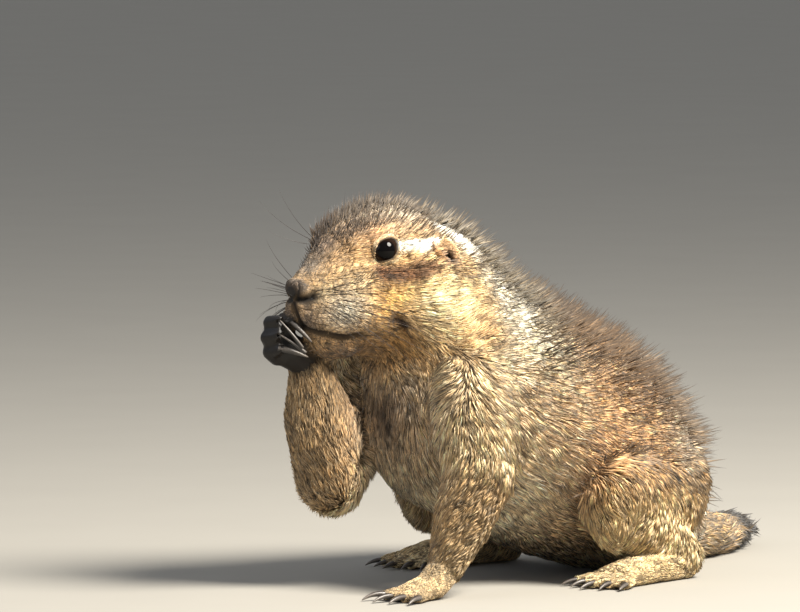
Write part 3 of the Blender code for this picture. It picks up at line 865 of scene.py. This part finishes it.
def black_tips(points, weights):
    """The share of tufts with black tips: each part's own, more on the muzzle, crown and back."""
    share = table_mix(weights, lambda name: COATS[part_of(name)].grizzle)
    places = on_head(points)
    own = 0.12 + 0.18 * step(places[:, 2], 4, 12) + 0.26 * (1 - step(places[:, 0], 10, 24))
    share = share + head_share(weights) * (own - share)
    return np.clip(share + 0.14 * step(points[:, 2], 84, 112) * (1 - head_share(weights)), 0, 1)


def whiteness(mesh):
    """1 where the painted coat colour is white, its painted highlights included, which get no dark hairs,
    0 where it is tan or darker.
    """
    return step(kept(mesh, "Markings").mean(axis=1) / UNDERCOAT_AND_SHADE, 0.62, 0.8)


def bare_share(weights):
    """How much of the raised hand is in each point, which shows its bare palm and fingers."""
    return weights[:, FLESH.index("hand_right")]


def bareness(points, weights):
    """1 where the skin is bare: the raised hand, the nose pad, the ears' cups and the rims of the lids."""
    places = on_head(points)
    pad = nose_pad(places) * head_share(weights)
    rim = 1 - step(lid_ratio(places), 1.02, 1.14)
    cup = np.exp(-((to_path(places, EAR_CUP_PATH) / 1.6) ** 2)) * head_share(weights)
    return np.clip(bare_share(weights) + pad + rim + cup, 0, 1)


def draw_lids(points):
    """Draws the lids into the skin. Inside the eye's opening the skin goes under the ball, at its
    edge it stands 0.45 mm over it, and it runs out into the face."""
    places = on_head(points)
    side = np.where(places[:, 1:2] < 0, (1, -1, 1), (1, 1, 1))
    offset = places * side - EYE_PLACE
    ratio = lid_ratio(places)
    distance = np.linalg.norm(offset, axis=1)
    under, over = EYE_RADIUS - LID_UNDER, EYE_RADIUS + LID_OVER
    lid = under + (over - under) * step(ratio, *LID_EDGE)
    reach = np.where(ratio < 8, lid + (distance - lid) * step(ratio, *LID_RUN_OUT), distance)
    places = (EYE_PLACE + unit(offset) * reach[:, None]) * side
    return np.where((ratio < 8)[:, None], from_head(places), points)


def groove_gaps(points):
    """A row for each groove: each point's distance to it over the groove's radius."""
    places = on_head(points)
    return np.array([to_path(places, groove.path) / groove.radius for groove in GROOVES])


def eased(points, links, weights):
    """Rounds off the solids' facets, less on the hands, feet and ears, and melts the folds
    where the upper arms come out of the neck and chest."""
    fine = ("hand", "foot", "ear")
    crisp = table_mix(weights, lambda name: 0.6 if part_of(name) in fine else 0.0)
    points = points + (spread(points, links, 8) - points) * (1 - crisp)[:, None]
    fold = bell(points, (-66, 32, 88), (22, 16, 15))
    return points + (spread(points, links, 90) - points) * fold[:, None]


def make_skin():
    """The skin: the outer form, moved in along its normals by the rise of the coat."""
    mesh = refine(outer_form(), 13.0, 1)
    points, faces, links = read_mesh(mesh)
    weights = part_weights(points, links)
    points = eased(points, links, weights)
    normals = unit(spread(point_normals(points, faces), links, 4))
    length = hair_length(points, weights)
    lift = np.radians(table_mix(weights, lambda name: COATS[part_of(name)].lift))
    depth = rise(length, lift) * 0.9
    thin = table_mix(weights, lambda name: 0.25 if part_of(name) in ("ear", "hand", "nose") else 1.0)
    places = on_head(points)
    depth = depth * thin
    for place, reach, dip in HOLLOWS:
        depth = depth + dip * bell(places, place, reach) * head_share(weights)
    points = points - normals * depth[:, None]
    points = points + (spread(points, links, 2) - points) * (1 - bareness(points, weights))[:, None]
    normals = point_normals(points, faces)
    points = draw_lids(points)
    gaps = groove_gaps(points)
    depths = np.array([groove.depth for groove in GROOVES])
    points = points - normals * (depths[:, None] * np.exp(-(gaps**2))).max(axis=0)[:, None]
    mesh.vertices.foreach_set("co", (points * MM).ravel())
    mesh.polygons.foreach_set("use_smooth", np.full(len(faces), True))
    mesh.update()
    normals = unit(spread(point_normals(points, faces), links, 2))
    paint(mesh, "Markings", coat_colour_and_painted_light(points, weights, gaps) * UNDERCOAT_AND_SHADE)
    keep(mesh, "Bare", bareness(points, weights))
    keep(mesh, "Pit", gaps[HAIRLESS_GROOVES].min(axis=0))
    keep(mesh, "Length", length)
    keep(mesh, "Lift", lift)
    keep(mesh, "Width", table_mix(weights, lambda name: COATS[part_of(name)].width))
    keep(mesh, "Grizzle", black_tips(points, weights) * (1 - whiteness(mesh)))
    keep(mesh, "Flow", lie_of_hair(points, normals, weights, links))
    keep(mesh, "Part", weights.argmax(axis=1).astype(float))
    return mesh


def unwrap(piece):
    """Unwraps a piece on its own shape into the map that baking reads."""
    bpy.ops.object.select_all(action="DESELECT")
    bpy.context.view_layer.objects.active = piece
    piece.select_set(True)
    bpy.ops.object.mode_set(mode="EDIT")
    bpy.ops.mesh.select_all(action="SELECT")
    bpy.ops.uv.smart_project(angle_limit=radians(66), island_margin=0.002)
    bpy.ops.object.mode_set(mode="OBJECT")
    piece.data.uv_layers.active.name = BAKE_MAP
    piece.select_set(False)


# The tufts


def scatter(mesh, chosen, count, draw):
    """That many roots over the chosen triangles, evenly by area and by 1 over the hair's length.
    Each is a triangle and three shares of its corners."""
    points, faces, _ = read_mesh(mesh)
    length = kept(mesh, "Length")
    corners = points[faces]
    area = np.linalg.norm(np.cross(corners[:, 1] - corners[:, 0], corners[:, 2] - corners[:, 0]), axis=1)
    density = area * chosen / np.maximum(length[faces].mean(axis=1), 1.5) ** 0.8
    ladder = np.cumsum(density)
    rungs = (np.arange(count) + draw.uniform(0, 1, count)) * (ladder[-1] / count)
    triangle = np.minimum(np.searchsorted(ladder, rungs), len(faces) - 1)
    first, second = np.sqrt(draw.uniform(0, 1, count)), draw.uniform(0, 1, count)
    shares = np.stack([1 - first, first * (1 - second), first * second], axis=1)
    return faces[triangle], triangle, shares


def tuft_arrays(root, normal, flow, length, lift, width, bend):
    """Tufts as slim closed solids of four triangles: a point at the root, two points two fifths of
    the way along at the lift, half the width to either side, and a tip laid down by the bend."""
    side = np.cross(normal, flow)
    low = np.cos(lift)[:, None] * flow + np.sin(lift)[:, None] * normal
    high = np.cos(lift * bend)[:, None] * flow + np.sin(lift * bend)[:, None] * normal
    half = (width / 2)[:, None]
    waist = root + low * (0.4 * length)[:, None]
    tip = waist + high * (0.6 * length)[:, None]
    crest = waist + 0.6 * half * np.cross(low, side)
    points = np.stack([root - normal * 0.3, crest + side * half, crest - side * half, tip], axis=1)
    return points, np.array([(0, 2, 1), (3, 1, 2), (0, 1, 3), (0, 3, 2)])


def gather(points, share, cell, draw):
    """Draws the tips of neighbouring tufts together by that share: tips in the same cell of a
    bent lattice move towards their mean, which makes locks."""
    roots = points[:, 0]
    bent = roots + 0.4 * cell * np.stack([ripple(roots, 3 * cell, seed) for seed in (21, 22, 23)], axis=1)
    keys = np.floor(bent / cell + draw.uniform(0, 1, 3)).astype(np.int64)
    _, owner = np.unique(keys, axis=0, return_inverse=True)
    owner = owner.ravel()
    count = np.bincount(owner)
    reach = points[:, -1] - roots
    for axis in range(3):
        mean_root = (np.bincount(owner, roots[:, axis]) / count)[owner]
        mean_reach = (np.bincount(owner, reach[:, axis]) / count)[owner]
        pull = share * (mean_root + mean_reach - points[:, -1, axis])
        points[:, -1, axis] += pull
        points[:, 1:-1, axis] += 0.3 * pull[:, None]
    return points, owner


def tuft_mesh(name, points, faces, colours, uv):
    """The mesh of many tufts, with their colours and a small patch each in the baking map."""
    count, corners = points.shape[:2]
    all_faces = (np.arange(count)[:, None, None] * corners + faces[None]).reshape(-1, 3)
    flat = points.reshape(-1, 3)
    flat[:, 2] = np.maximum(flat[:, 2], 0.15)
    mesh = make_mesh(name, flat, all_faces)
    paint(mesh, "Markings", colours.reshape(-1, 3))
    patch = np.array([(-0.5, -0.5), (0.5, -0.1), (-0.5, 0.3), (0.2, 0.5)]) * TUFT_PATCH
    spots = (np.clip(uv, 0.002, 0.998)[:, None] + patch[None]).reshape(-1, 2)
    layer = mesh.uv_layers.new(name=BAKE_MAP)
    layer.data.foreach_set("uv", spots[all_faces.ravel()].ravel())
    return mesh


# How a coat stands: the lift, length and width against the skin's own, how far the tips stay up,
# how far tufts gather into locks, and the share with black tips if it isn't the skin's own.
Stand = namedtuple("Stand", "lift length width bend locks black")
LYING = Stand(1.0, 1.0, 1.0, 0.34, 0.45, None)
GUARD = Stand(2.7, 1.5, 0.30, 0.85, 0.15, 1.0)


def grow(mesh, name, chosen, count, seed, stand=LYING):
    """One piece of coat: tufts over the chosen triangles of the skin."""
    draw = np.random.default_rng(seed)
    corners, triangle, shares = scatter(mesh, chosen, count, draw)
    points, faces, _ = read_mesh(mesh)
    normals = point_normals(points, faces)

    def at_root(values):
        return (values[corners] * (shares if values.ndim == 1 else shares[:, :, None])).sum(axis=1)

    root, normal, flow = at_root(points), unit(at_root(normals)), at_root(kept(mesh, "Flow"))
    flow = unit(flow - normal * (flow * normal).sum(axis=1, keepdims=True))
    side = np.cross(normal, flow)
    coarse = np.clip(at_root(kept(mesh, "Length")) / 7.0, 0.45, 1)
    turn = coarse * (draw.normal(0, 0.24, count) + 0.38 * ripple(root, 7.0, 31))
    flow = flow * np.cos(turn)[:, None] + side * np.sin(turn)[:, None]
    length = at_root(kept(mesh, "Length")) * draw.uniform(0.65, 1.25, count) * stand.length
    lift = at_root(kept(mesh, "Lift")) * draw.uniform(0.5, 1.45, count) * stand.lift
    width = at_root(kept(mesh, "Width")) * draw.uniform(0.7, 1.25, count) * stand.width
    tufts, pattern_faces = tuft_arrays(root, normal, flow, length, lift, width, stand.bend)
    tufts, _ = gather(tufts, 0.5 * stand.locks, 6.0, draw)
    tufts, owner = gather(tufts, stand.locks, 1.8, draw)
    lock_tone = draw.normal(1.0, 0.24, owner.max() + 1)[owner]
    warmth = draw.normal(0, 0.05, (count, 1)) * (1, 0, -1.6) + 1
    base = at_root(kept(mesh, "Markings")) / UNDERCOAT_AND_SHADE * warmth
    base = base * (lock_tone * np.clip(draw.normal(1.0, 0.33, count), 0.3, 1.8))[:, None]
    own = at_root(kept(mesh, "Grizzle")) if stand.black is None else np.full(count, stand.black)
    black = (draw.uniform(0, 1, count) < own)[:, None]
    pale = 1.05 + 0.45 * draw.uniform(0, 1, count)[:, None]
    dark_waist = 0.75 if stand.black is None else 0.3
    waist = np.where(black, base * dark_waist, base * 0.92)
    tip = np.where(black, np.minimum(base, linear("2A2019")), base * pale + 0.01)
    # Each tuft darkens to about a fifth of its colour at the root: darker hair bases, and painted shade
    # deep in the coat.
    colours = np.stack([base * 0.22, waist, waist, tip], axis=1)
    uv = np.empty(2 * len(mesh.loops))
    mesh.uv_layers[BAKE_MAP].data.foreach_get("uv", uv)
    spots = (uv.reshape(-1, 3, 2)[triangle] * shares[:, :, None]).sum(axis=1)
    return tuft_mesh(name, tufts, pattern_faces, np.clip(colours, 0.004, 0.95), spots)


# Each coat piece: the nodes it covers, how many tufts, and where it starts and ends on the head.
CoatPiece = namedtuple("CoatPiece", "nodes tufts behind ahead")
COAT_PIECES = {
    "coat_face": CoatPiece(("head", "nose"), 49000, None, 30),
    "coat_cheeks_and_crown": CoatPiece(("head", "ear"), 49000, 30, None),
    "coat_neck": CoatPiece(("neck",), 40000, None, None),
    "coat_chest": CoatPiece(("chest",), 44000, None, None),
    "coat_flanks": CoatPiece(("belly",), 44000, None, None),
    "coat_rump_and_tail": CoatPiece(("rump", "tail_base", "tail_tip"), 48000, None, None),
    "coat_arms": CoatPiece(("upper_arm", "forearm", "hand"), 42000, None, None),
    "coat_legs": CoatPiece(("thigh", "shank", "foot"), 37000, None, None),
}


def coat_area(mesh, piece):
    """1 on the skin's triangles that a coat piece covers, 0 elsewhere. Bare skin grows nothing,
    and neither do the eyes' openings and the hairless grooves."""
    points, faces, _ = read_mesh(mesh)
    owner = kept(mesh, "Part")[faces[:, 0]].astype(int)
    mine = np.isin(owner, [FLESH.index(name) for name in FLESH if part_of(name) in piece.nodes])
    back = on_head(points[faces].mean(axis=1))[:, 0]
    if piece.behind is not None:
        mine &= back >= piece.behind
    if piece.ahead is not None:
        mine &= back < piece.ahead
    bare = kept(mesh, "Bare")[faces].mean(axis=1)
    places = on_head(points[faces].mean(axis=1))
    clear = (lid_ratio(places) > 1.13) & (kept(mesh, "Pit")[faces].mean(axis=1) > 1.1)
    return mine * clear * np.clip(1 - 1.15 * bare, 0, 1)


# Eyes, claws and whiskers


def eyeball(side):
    """A ball with a slight bulge of the cornea: its radius grows by 3 percent, as the eighth power
    of the cosine of the angle from its outward axis. Rings run from the front pole to the back."""
    rings, sides = 40, 64
    polar = np.linspace(0, pi, rings)
    turn = np.linspace(0, 2 * pi, sides, endpoint=False)
    radius = EYE_RADIUS * (1 + 0.03 * np.clip(np.cos(polar), 0, 1) ** 8)
    along, up, out = eye_frame()
    around = np.cos(turn)[:, None] * along + np.sin(turn)[:, None] * up
    grid = np.sin(polar)[:, None, None] * around[None] + np.cos(polar)[:, None, None] * out
    places = EYE_PLACE + radius[:, None, None] * grid
    places = places * (1, side, 1)
    points = from_head(places[1:-1].reshape(-1, 3))
    poles = from_head(np.array([places[0, 0], places[-1, 0]]))
    inner = np.arange((rings - 2) * sides).reshape(rings - 2, sides)
    turned = np.roll(inner, -1, axis=1)
    quads = np.stack([inner[:-1], inner[1:], turned[1:], turned[:-1]], axis=-1).reshape(-1, 4)
    first, last = inner.size, inner.size + 1
    faces = [quads[:, [0, 1, 2]], quads[:, [0, 2, 3]]]
    faces.append(np.stack([np.full(sides, first), inner[0], turned[0]], axis=-1))
    faces.append(np.stack([np.full(sides, last), turned[-1], inner[-1]], axis=-1))
    gaze = np.r_[np.repeat(np.sin(polar[1:-1]), sides), 0.0, 0.0]
    return np.r_[points, poles], np.concatenate(faces), gaze


def outward(points, faces):
    """The triangles turned so that they face out of a closed shape."""
    corners = points[faces] - points.mean(axis=0)
    volume = np.einsum("ij,ij->i", corners[:, 0], np.cross(corners[:, 1], corners[:, 2])).sum()
    return faces if volume > 0 else faces[:, ::-1]


CLAW_SIDES = 16


def claw_shape(node, root_from):
    """A curved horn inside a CAD claw: its middle line is the parabola through the claw's slices
    from root to tip, and its radius falls from the root's as a quarter of an ellipse."""
    points = node_points(node)
    centre = points.mean(axis=0)
    axis = np.linalg.svd(points - centre)[2][0]
    if axis @ (root_from - centre) > 0:
        axis = -axis
    travel = (points - centre) @ axis
    share = (travel - travel.min()) / np.ptp(travel)
    bend = np.polynomial.polynomial.polyfit(share, points, 2)
    t = np.linspace(0.0, 1.0, 26)
    path = bend[0] + t[:, None] * bend[1] + (t**2)[:, None] * bend[2]
    root = points[share < 0.35]
    girth = np.linalg.norm(np.cross(root - root.mean(axis=0), axis), axis=1).max()
    radii = girth * np.sqrt(np.clip(1 - t**1.7, 0.0, 1)) * (1 - 0.35 * t) + 0.05
    shape = tube(path, radii, CLAW_SIDES, 0.8)
    # Paler towards the tip, where the horn is worn, and along both sides of the claw as painted
    # highlights.
    edge = np.abs(np.cos(np.linspace(0, 2 * pi, CLAW_SIDES, endpoint=False))) ** 6
    wear_and_sheen = np.clip(t[:, None] ** 3 + 0.8 * edge[None], 0, 1)
    return shape, np.r_[wear_and_sheen.ravel(), 0.0, 1.0]


# The whiskers of each side of the muzzle: rows from its top down, and how many in a row.
WHISKER_ROWS, WHISKER_COLUMNS = 5, 5

# The whiskers over each eye: their roots and ways on the head, and shares of the longest.
BROW_WHISKERS = [
    ((25.0, 9.0, 10.0), (-0.75, 0.25, 0.6), 0.75),
    ((26.5, 9.6, 10.4), (-0.55, 0.2, 0.8), 0.62),
    ((24.0, 10.0, 8.6), (-0.9, 0.35, 0.42), 0.5),
]


def whisker(root, direction, length, thick, droop):
    """A whisker: root plus t length direction, bent back and down as t squared, tapering to its tip."""
    t = np.linspace(0, 1, 14)
    path = root + (t * length)[:, None] * direction + ((t**2) * length)[:, None] * droop
    return tube(path, thick * (1 - 0.85 * t), 5)


# Settings that a user may change


def colour_setting(name, description, code):
    """A colour property whose default is that hex colour."""
    shade = tuple(linear(code))
    return FloatVectorProperty(
        name=name, description=description, subtype="COLOR", size=3, min=0, max=1, default=shade
    )


class PrairieDogCoat(bpy.types.PropertyGroup):
    density: FloatProperty(
        name="Density", description="Share of the full number of tufts", default=1.0, min=0.01
    )
    rim_hairs: IntProperty(
        name="Guard hairs", description="Dark guard hairs on the upper side", default=12000
    )
    seed: IntProperty(name="Seed", description="Start of the random draws", default=7)


class PrairieDogWhiskers(bpy.types.PropertyGroup):
    longest: FloatProperty(
        name="Longest", description="Length of the longest whisker", default=38 * MM, unit="LENGTH"
    )
    thickness: FloatProperty(
        name="Thickness", description="Radius of a whisker at its root", default=0.13 * MM, unit="LENGTH"
    )


class PrairieDogStage(bpy.types.PropertyGroup):
    floor: colour_setting("Floor", "Colour of the floor", "96928A")
    sky: colour_setting("Surround", "Colour of the soft light all round", "E9EDF2")
    surround_strength: FloatProperty(
        name="Surround strength", description="Light all round", default=0.50
    )
    key_power: FloatProperty(
        name="Key light", description="Power of the key light", default=70.0, unit="POWER"
    )
    fill_power: FloatProperty(
        name="Fill light", description="Power of the fill light", default=6.0, unit="POWER"
    )


# Operators


class PRAIRIEDOG_OT_skin(bpy.types.Operator):
    """One skin in place of all the nodes of flesh"""

    bl_idname = "prairiedog.skin"
    bl_label = "Skin"

    def execute(self, context):
        mesh = make_skin()
        piece = place_piece("skin", mesh, skin_material("furred_skin"), FLESH)
        unwrap(piece)
        return {"FINISHED"}


class PRAIRIEDOG_OT_coat(bpy.types.Operator):
    """The coat of tufts over the skin, a piece for each part of the body"""

    bl_idname = "prairiedog.coat"
    bl_label = "Coat"

    def execute(self, context):
        settings = context.scene.prairiedog_coat
        skin = bpy.data.objects["skin"].data
        fur = fur_material("fur")
        for index, (name, piece) in enumerate(COAT_PIECES.items()):
            count = int(piece.tufts * settings.density)
            mesh = grow(skin, name, coat_area(skin, piece), count, settings.seed + index)
            place_piece(name, mesh, fur)
        upper = guard_area(skin)
        mesh = grow(skin, "guard_hairs", upper, settings.rim_hairs, settings.seed + 50, GUARD)
        place_piece("guard_hairs", mesh, fur)
        return {"FINISHED"}


def guard_area(mesh):
    """Where long dark guard hairs stand out: the crown, nape, back and rump, by how far up the
    skin faces."""
    points, faces, _ = read_mesh(mesh)
    normals = point_normals(points, faces)[faces].mean(axis=1)
    places = points[faces].mean(axis=1)
    owner = kept(mesh, "Part")[faces[:, 0]].astype(int)
    parts = ("head", "neck", "chest", "belly", "rump")
    mine = np.isin(owner, [FLESH.index(name) for name in parts])
    upward = step(normals[:, 2], 0.05, 0.75)
    muzzle = step(on_head(places)[:, 0], 8, 24)
    tan = 1 - whiteness(mesh)[faces].mean(axis=1)
    return mine * upward * muzzle * tan * (lid_ratio(on_head(places)) > 1.8)


class PRAIRIEDOG_OT_eyes(bpy.types.Operator):
    """The two eyeballs, behind the lids of the skin"""

    bl_idname = "prairiedog.eyes"
    bl_label = "Eyes"

    def execute(self, context):
        material = eye_material()
        for name, side in (("eye_left", 1), ("eye_right", -1)):
            points, faces, gaze = eyeball(side)
            mesh = make_mesh("ball_" + name, points, outward(points, faces))
            keep(mesh, "Gaze", gaze)
            place_piece("ball_" + name, mesh, material, [name])
        return {"FINISHED"}


class PRAIRIEDOG_OT_claws(bpy.types.Operator):
    """A curved claw on every finger and toe"""

    bl_idname = "prairiedog.claws"
    bl_label = "Claws"

    def execute(self, context):
        material = horn_material()
        for node in CLAWS:
            limb = node.removeprefix("claw_").rsplit("_", 1)[0]
            (points, faces), wear_and_sheen = claw_shape(node, middle(limb))
            mesh = make_mesh("horn_" + node, points, outward(points, faces))
            keep(mesh, "Wear", wear_and_sheen)
            place_piece("horn_" + node, mesh, material, [node])
        return {"FINISHED"}


class PRAIRIEDOG_OT_whiskers(bpy.types.Operator):
    """Whiskers in rows on both sides of the muzzle, and a few over each eye"""

    bl_idname = "prairiedog.whiskers"
    bl_label = "Whiskers"

    def execute(self, context):
        settings = context.scene.prairiedog_whiskers
        longest, thick = settings.longest / MM, settings.thickness / MM
        draw = np.random.default_rng(17)
        points, faces, _ = read_mesh(bpy.data.objects["skin"].data)
        places = on_head(points)
        shapes = []
        for side in (1, -1):
            for row in range(WHISKER_ROWS):
                for column in range(WHISKER_COLUMNS):
                    back = 6.0 + 2.0 * column + 0.4 * row
                    up = -2.0 - 2.3 * row - 0.4 * column
                    other_side = places[:, 1] * side <= 0
                    gap = np.abs(places[:, 0] - back) + np.abs(places[:, 2] - up) + 99 * other_side
                    root = places[gap.argmin()]
                    share = column / (WHISKER_COLUMNS - 1)
                    length = longest * (0.45 + 0.55 * share) * draw.uniform(0.85, 1.1)
                    way = unit(np.array((-0.35 + 0.75 * share, 0.95 * side, 0.28 - 0.2 * row)))
                    way = unit(way + draw.normal(0, 0.09, 3))
                    bend = np.array((0.22, -0.12 * side, -0.16)) * draw.uniform(0.6, 1.3)
                    curve, mesh_faces = whisker(root, way, length, thick, bend)
                    curve = from_head(curve)
                    shapes.append((curve, outward(curve, mesh_faces)))
            for root, way, share in BROW_WHISKERS:
                curve, mesh_faces = whisker(
                    np.array(root) * (1, side, 1),
                    unit(np.array(way) * (1, side, 1)),
                    longest * share,
                    0.7 * thick,
                    np.array((0.30, 0.05 * side, 0.02)),
                )
                curve = from_head(curve)
                shapes.append((curve, outward(curve, mesh_faces)))
        mesh = make_mesh("whiskers", *joined(shapes))
        place_piece("whiskers", mesh, whisker_material())
        return {"FINISHED"}


class PRAIRIEDOG_OT_stage(bpy.types.Operator):
    """A pale floor, soft studio light and the camera"""

    bl_idname = "prairiedog.stage"
    bl_label = "Stage"

    def execute(self, context):
        settings = context.scene.prairiedog_stage
        scene = context.scene
        scene.view_settings.view_transform = "Standard"
        sides = 96
        turn = np.linspace(0, 2 * pi, sides, endpoint=False)
        reach = np.array((300.0, 1500.0, 6000.0, 14000.0))
        rim = np.stack([np.cos(turn), np.sin(turn), 0 * turn], axis=1)
        points = np.r_[np.zeros((1, 3)), (reach[:, None, None] * rim[None]).reshape(-1, 3)]
        grid = 1 + np.arange(len(reach) * sides).reshape(len(reach), sides)
        turned = np.roll(grid, -1, axis=1)
        quads = np.stack([grid[:-1], grid[1:], turned[1:], turned[:-1]], axis=-1).reshape(-1, 4)
        middle_fan = np.stack([np.zeros(sides, dtype=int), grid[0], turned[0]], axis=-1)
        faces = np.r_[middle_fan, quads[:, [0, 1, 2]], quads[:, [0, 2, 3]]]
        floor = bpy.data.objects.new("floor", make_mesh("floor", points, faces))
        floor.data.materials.append(floor_material(tuple(settings.floor)))
        scene.collection.objects.link(floor)
        world = bpy.data.worlds.new("soft_surround")
        world.use_nodes = True
        background = world.node_tree.nodes["Background"]
        background.inputs["Color"].default_value = (*settings.sky, 1.0)
        background.inputs["Strength"].default_value = settings.surround_strength
        scene.world = world
        add_area_light("key", 10.0, 48.0, 1400.0, 700.0, settings.key_power, "FFF9EE")
        add_area_light("fill", -110.0, 25.0, 1600.0, 1200.0, settings.fill_power, "E8F0FF")
        back = camera_back(CAMERA_AZIMUTH, CAMERA_ELEVATION)
        camera = bpy.data.objects.new("camera", bpy.data.cameras.new("camera"))
        camera.data.sensor_width = FILM_WIDTH
        camera.data.lens = FILM_WIDTH * CAMERA_DISTANCE / VIEW_WIDTH
        camera.location = (NOSE_TIP + CAMERA_AIM_FROM_NOSE + CAMERA_DISTANCE * back) * MM
        camera.rotation_euler = Vector(back).to_track_quat("Z", "Y").to_euler()
        scene.collection.objects.link(camera)
        scene.camera = camera
        return {"FINISHED"}


def camera_back(azimuth, elevation):
    """The direction from the animal to a camera or light at that azimuth and elevation."""
    return np.array((sin(azimuth) * cos(elevation), -cos(azimuth) * cos(elevation), sin(elevation)))


def add_area_light(name, azimuth, elevation, distance, size, power, code):
    """A round soft light that shines on the animal's middle."""
    back = camera_back(radians(azimuth), radians(elevation))
    light = bpy.data.objects.new(name, bpy.data.lights.new(name, "AREA"))
    light.data.shape = "DISK"
    light.data.size = size * MM
    light.data.energy = power
    light.data.color = tuple(linear(code))
    light.location = (LIGHT_AIM + distance * back) * MM
    light.rotation_euler = Vector(back).to_track_quat("Z", "Y").to_euler()
    bpy.context.scene.collection.objects.link(light)


class PRAIRIEDOG_PT_panel(bpy.types.Panel):
    """The sidebar panel of the prairie dog"""

    bl_idname = "PRAIRIEDOG_PT_panel"
    bl_label = "Prairie dog"
    bl_space_type = "VIEW_3D"
    bl_region_type = "UI"
    bl_category = "Prairie dog"

    def draw(self, context):
        for operator in OPERATORS:
            self.layout.operator(operator.bl_idname)
        scene = context.scene
        for group in (scene.prairiedog_coat, scene.prairiedog_whiskers, scene.prairiedog_stage):
            box = self.layout.box()
            for name in group.__annotations__:
                box.prop(group, name)


GROUPS = (PrairieDogCoat, PrairieDogWhiskers, PrairieDogStage)
OPERATORS = (
    PRAIRIEDOG_OT_stage,
    PRAIRIEDOG_OT_skin,
    PRAIRIEDOG_OT_eyes,
    PRAIRIEDOG_OT_coat,
    PRAIRIEDOG_OT_claws,
    PRAIRIEDOG_OT_whiskers,
)


def register():
    for kind in (*GROUPS, *OPERATORS, PRAIRIEDOG_PT_panel):
        bpy.utils.register_class(kind)
    bpy.types.Scene.prairiedog_coat = PointerProperty(type=PrairieDogCoat)
    bpy.types.Scene.prairiedog_whiskers = PointerProperty(type=PrairieDogWhiskers)
    bpy.types.Scene.prairiedog_stage = PointerProperty(type=PrairieDogStage)


def unregister():
    del bpy.types.Scene.prairiedog_coat
    del bpy.types.Scene.prairiedog_whiskers
    del bpy.types.Scene.prairiedog_stage
    for kind in reversed((*GROUPS, *OPERATORS, PRAIRIEDOG_PT_panel)):
        bpy.utils.unregister_class(kind)


def main():
    register()
    bpy.ops.prairiedog.stage()
    bpy.ops.prairiedog.skin()
    bpy.ops.prairiedog.eyes()
    bpy.ops.prairiedog.coat()
    bpy.ops.prairiedog.claws()
    bpy.ops.prairiedog.whiskers()


if __name__ == "__main__":
    main()
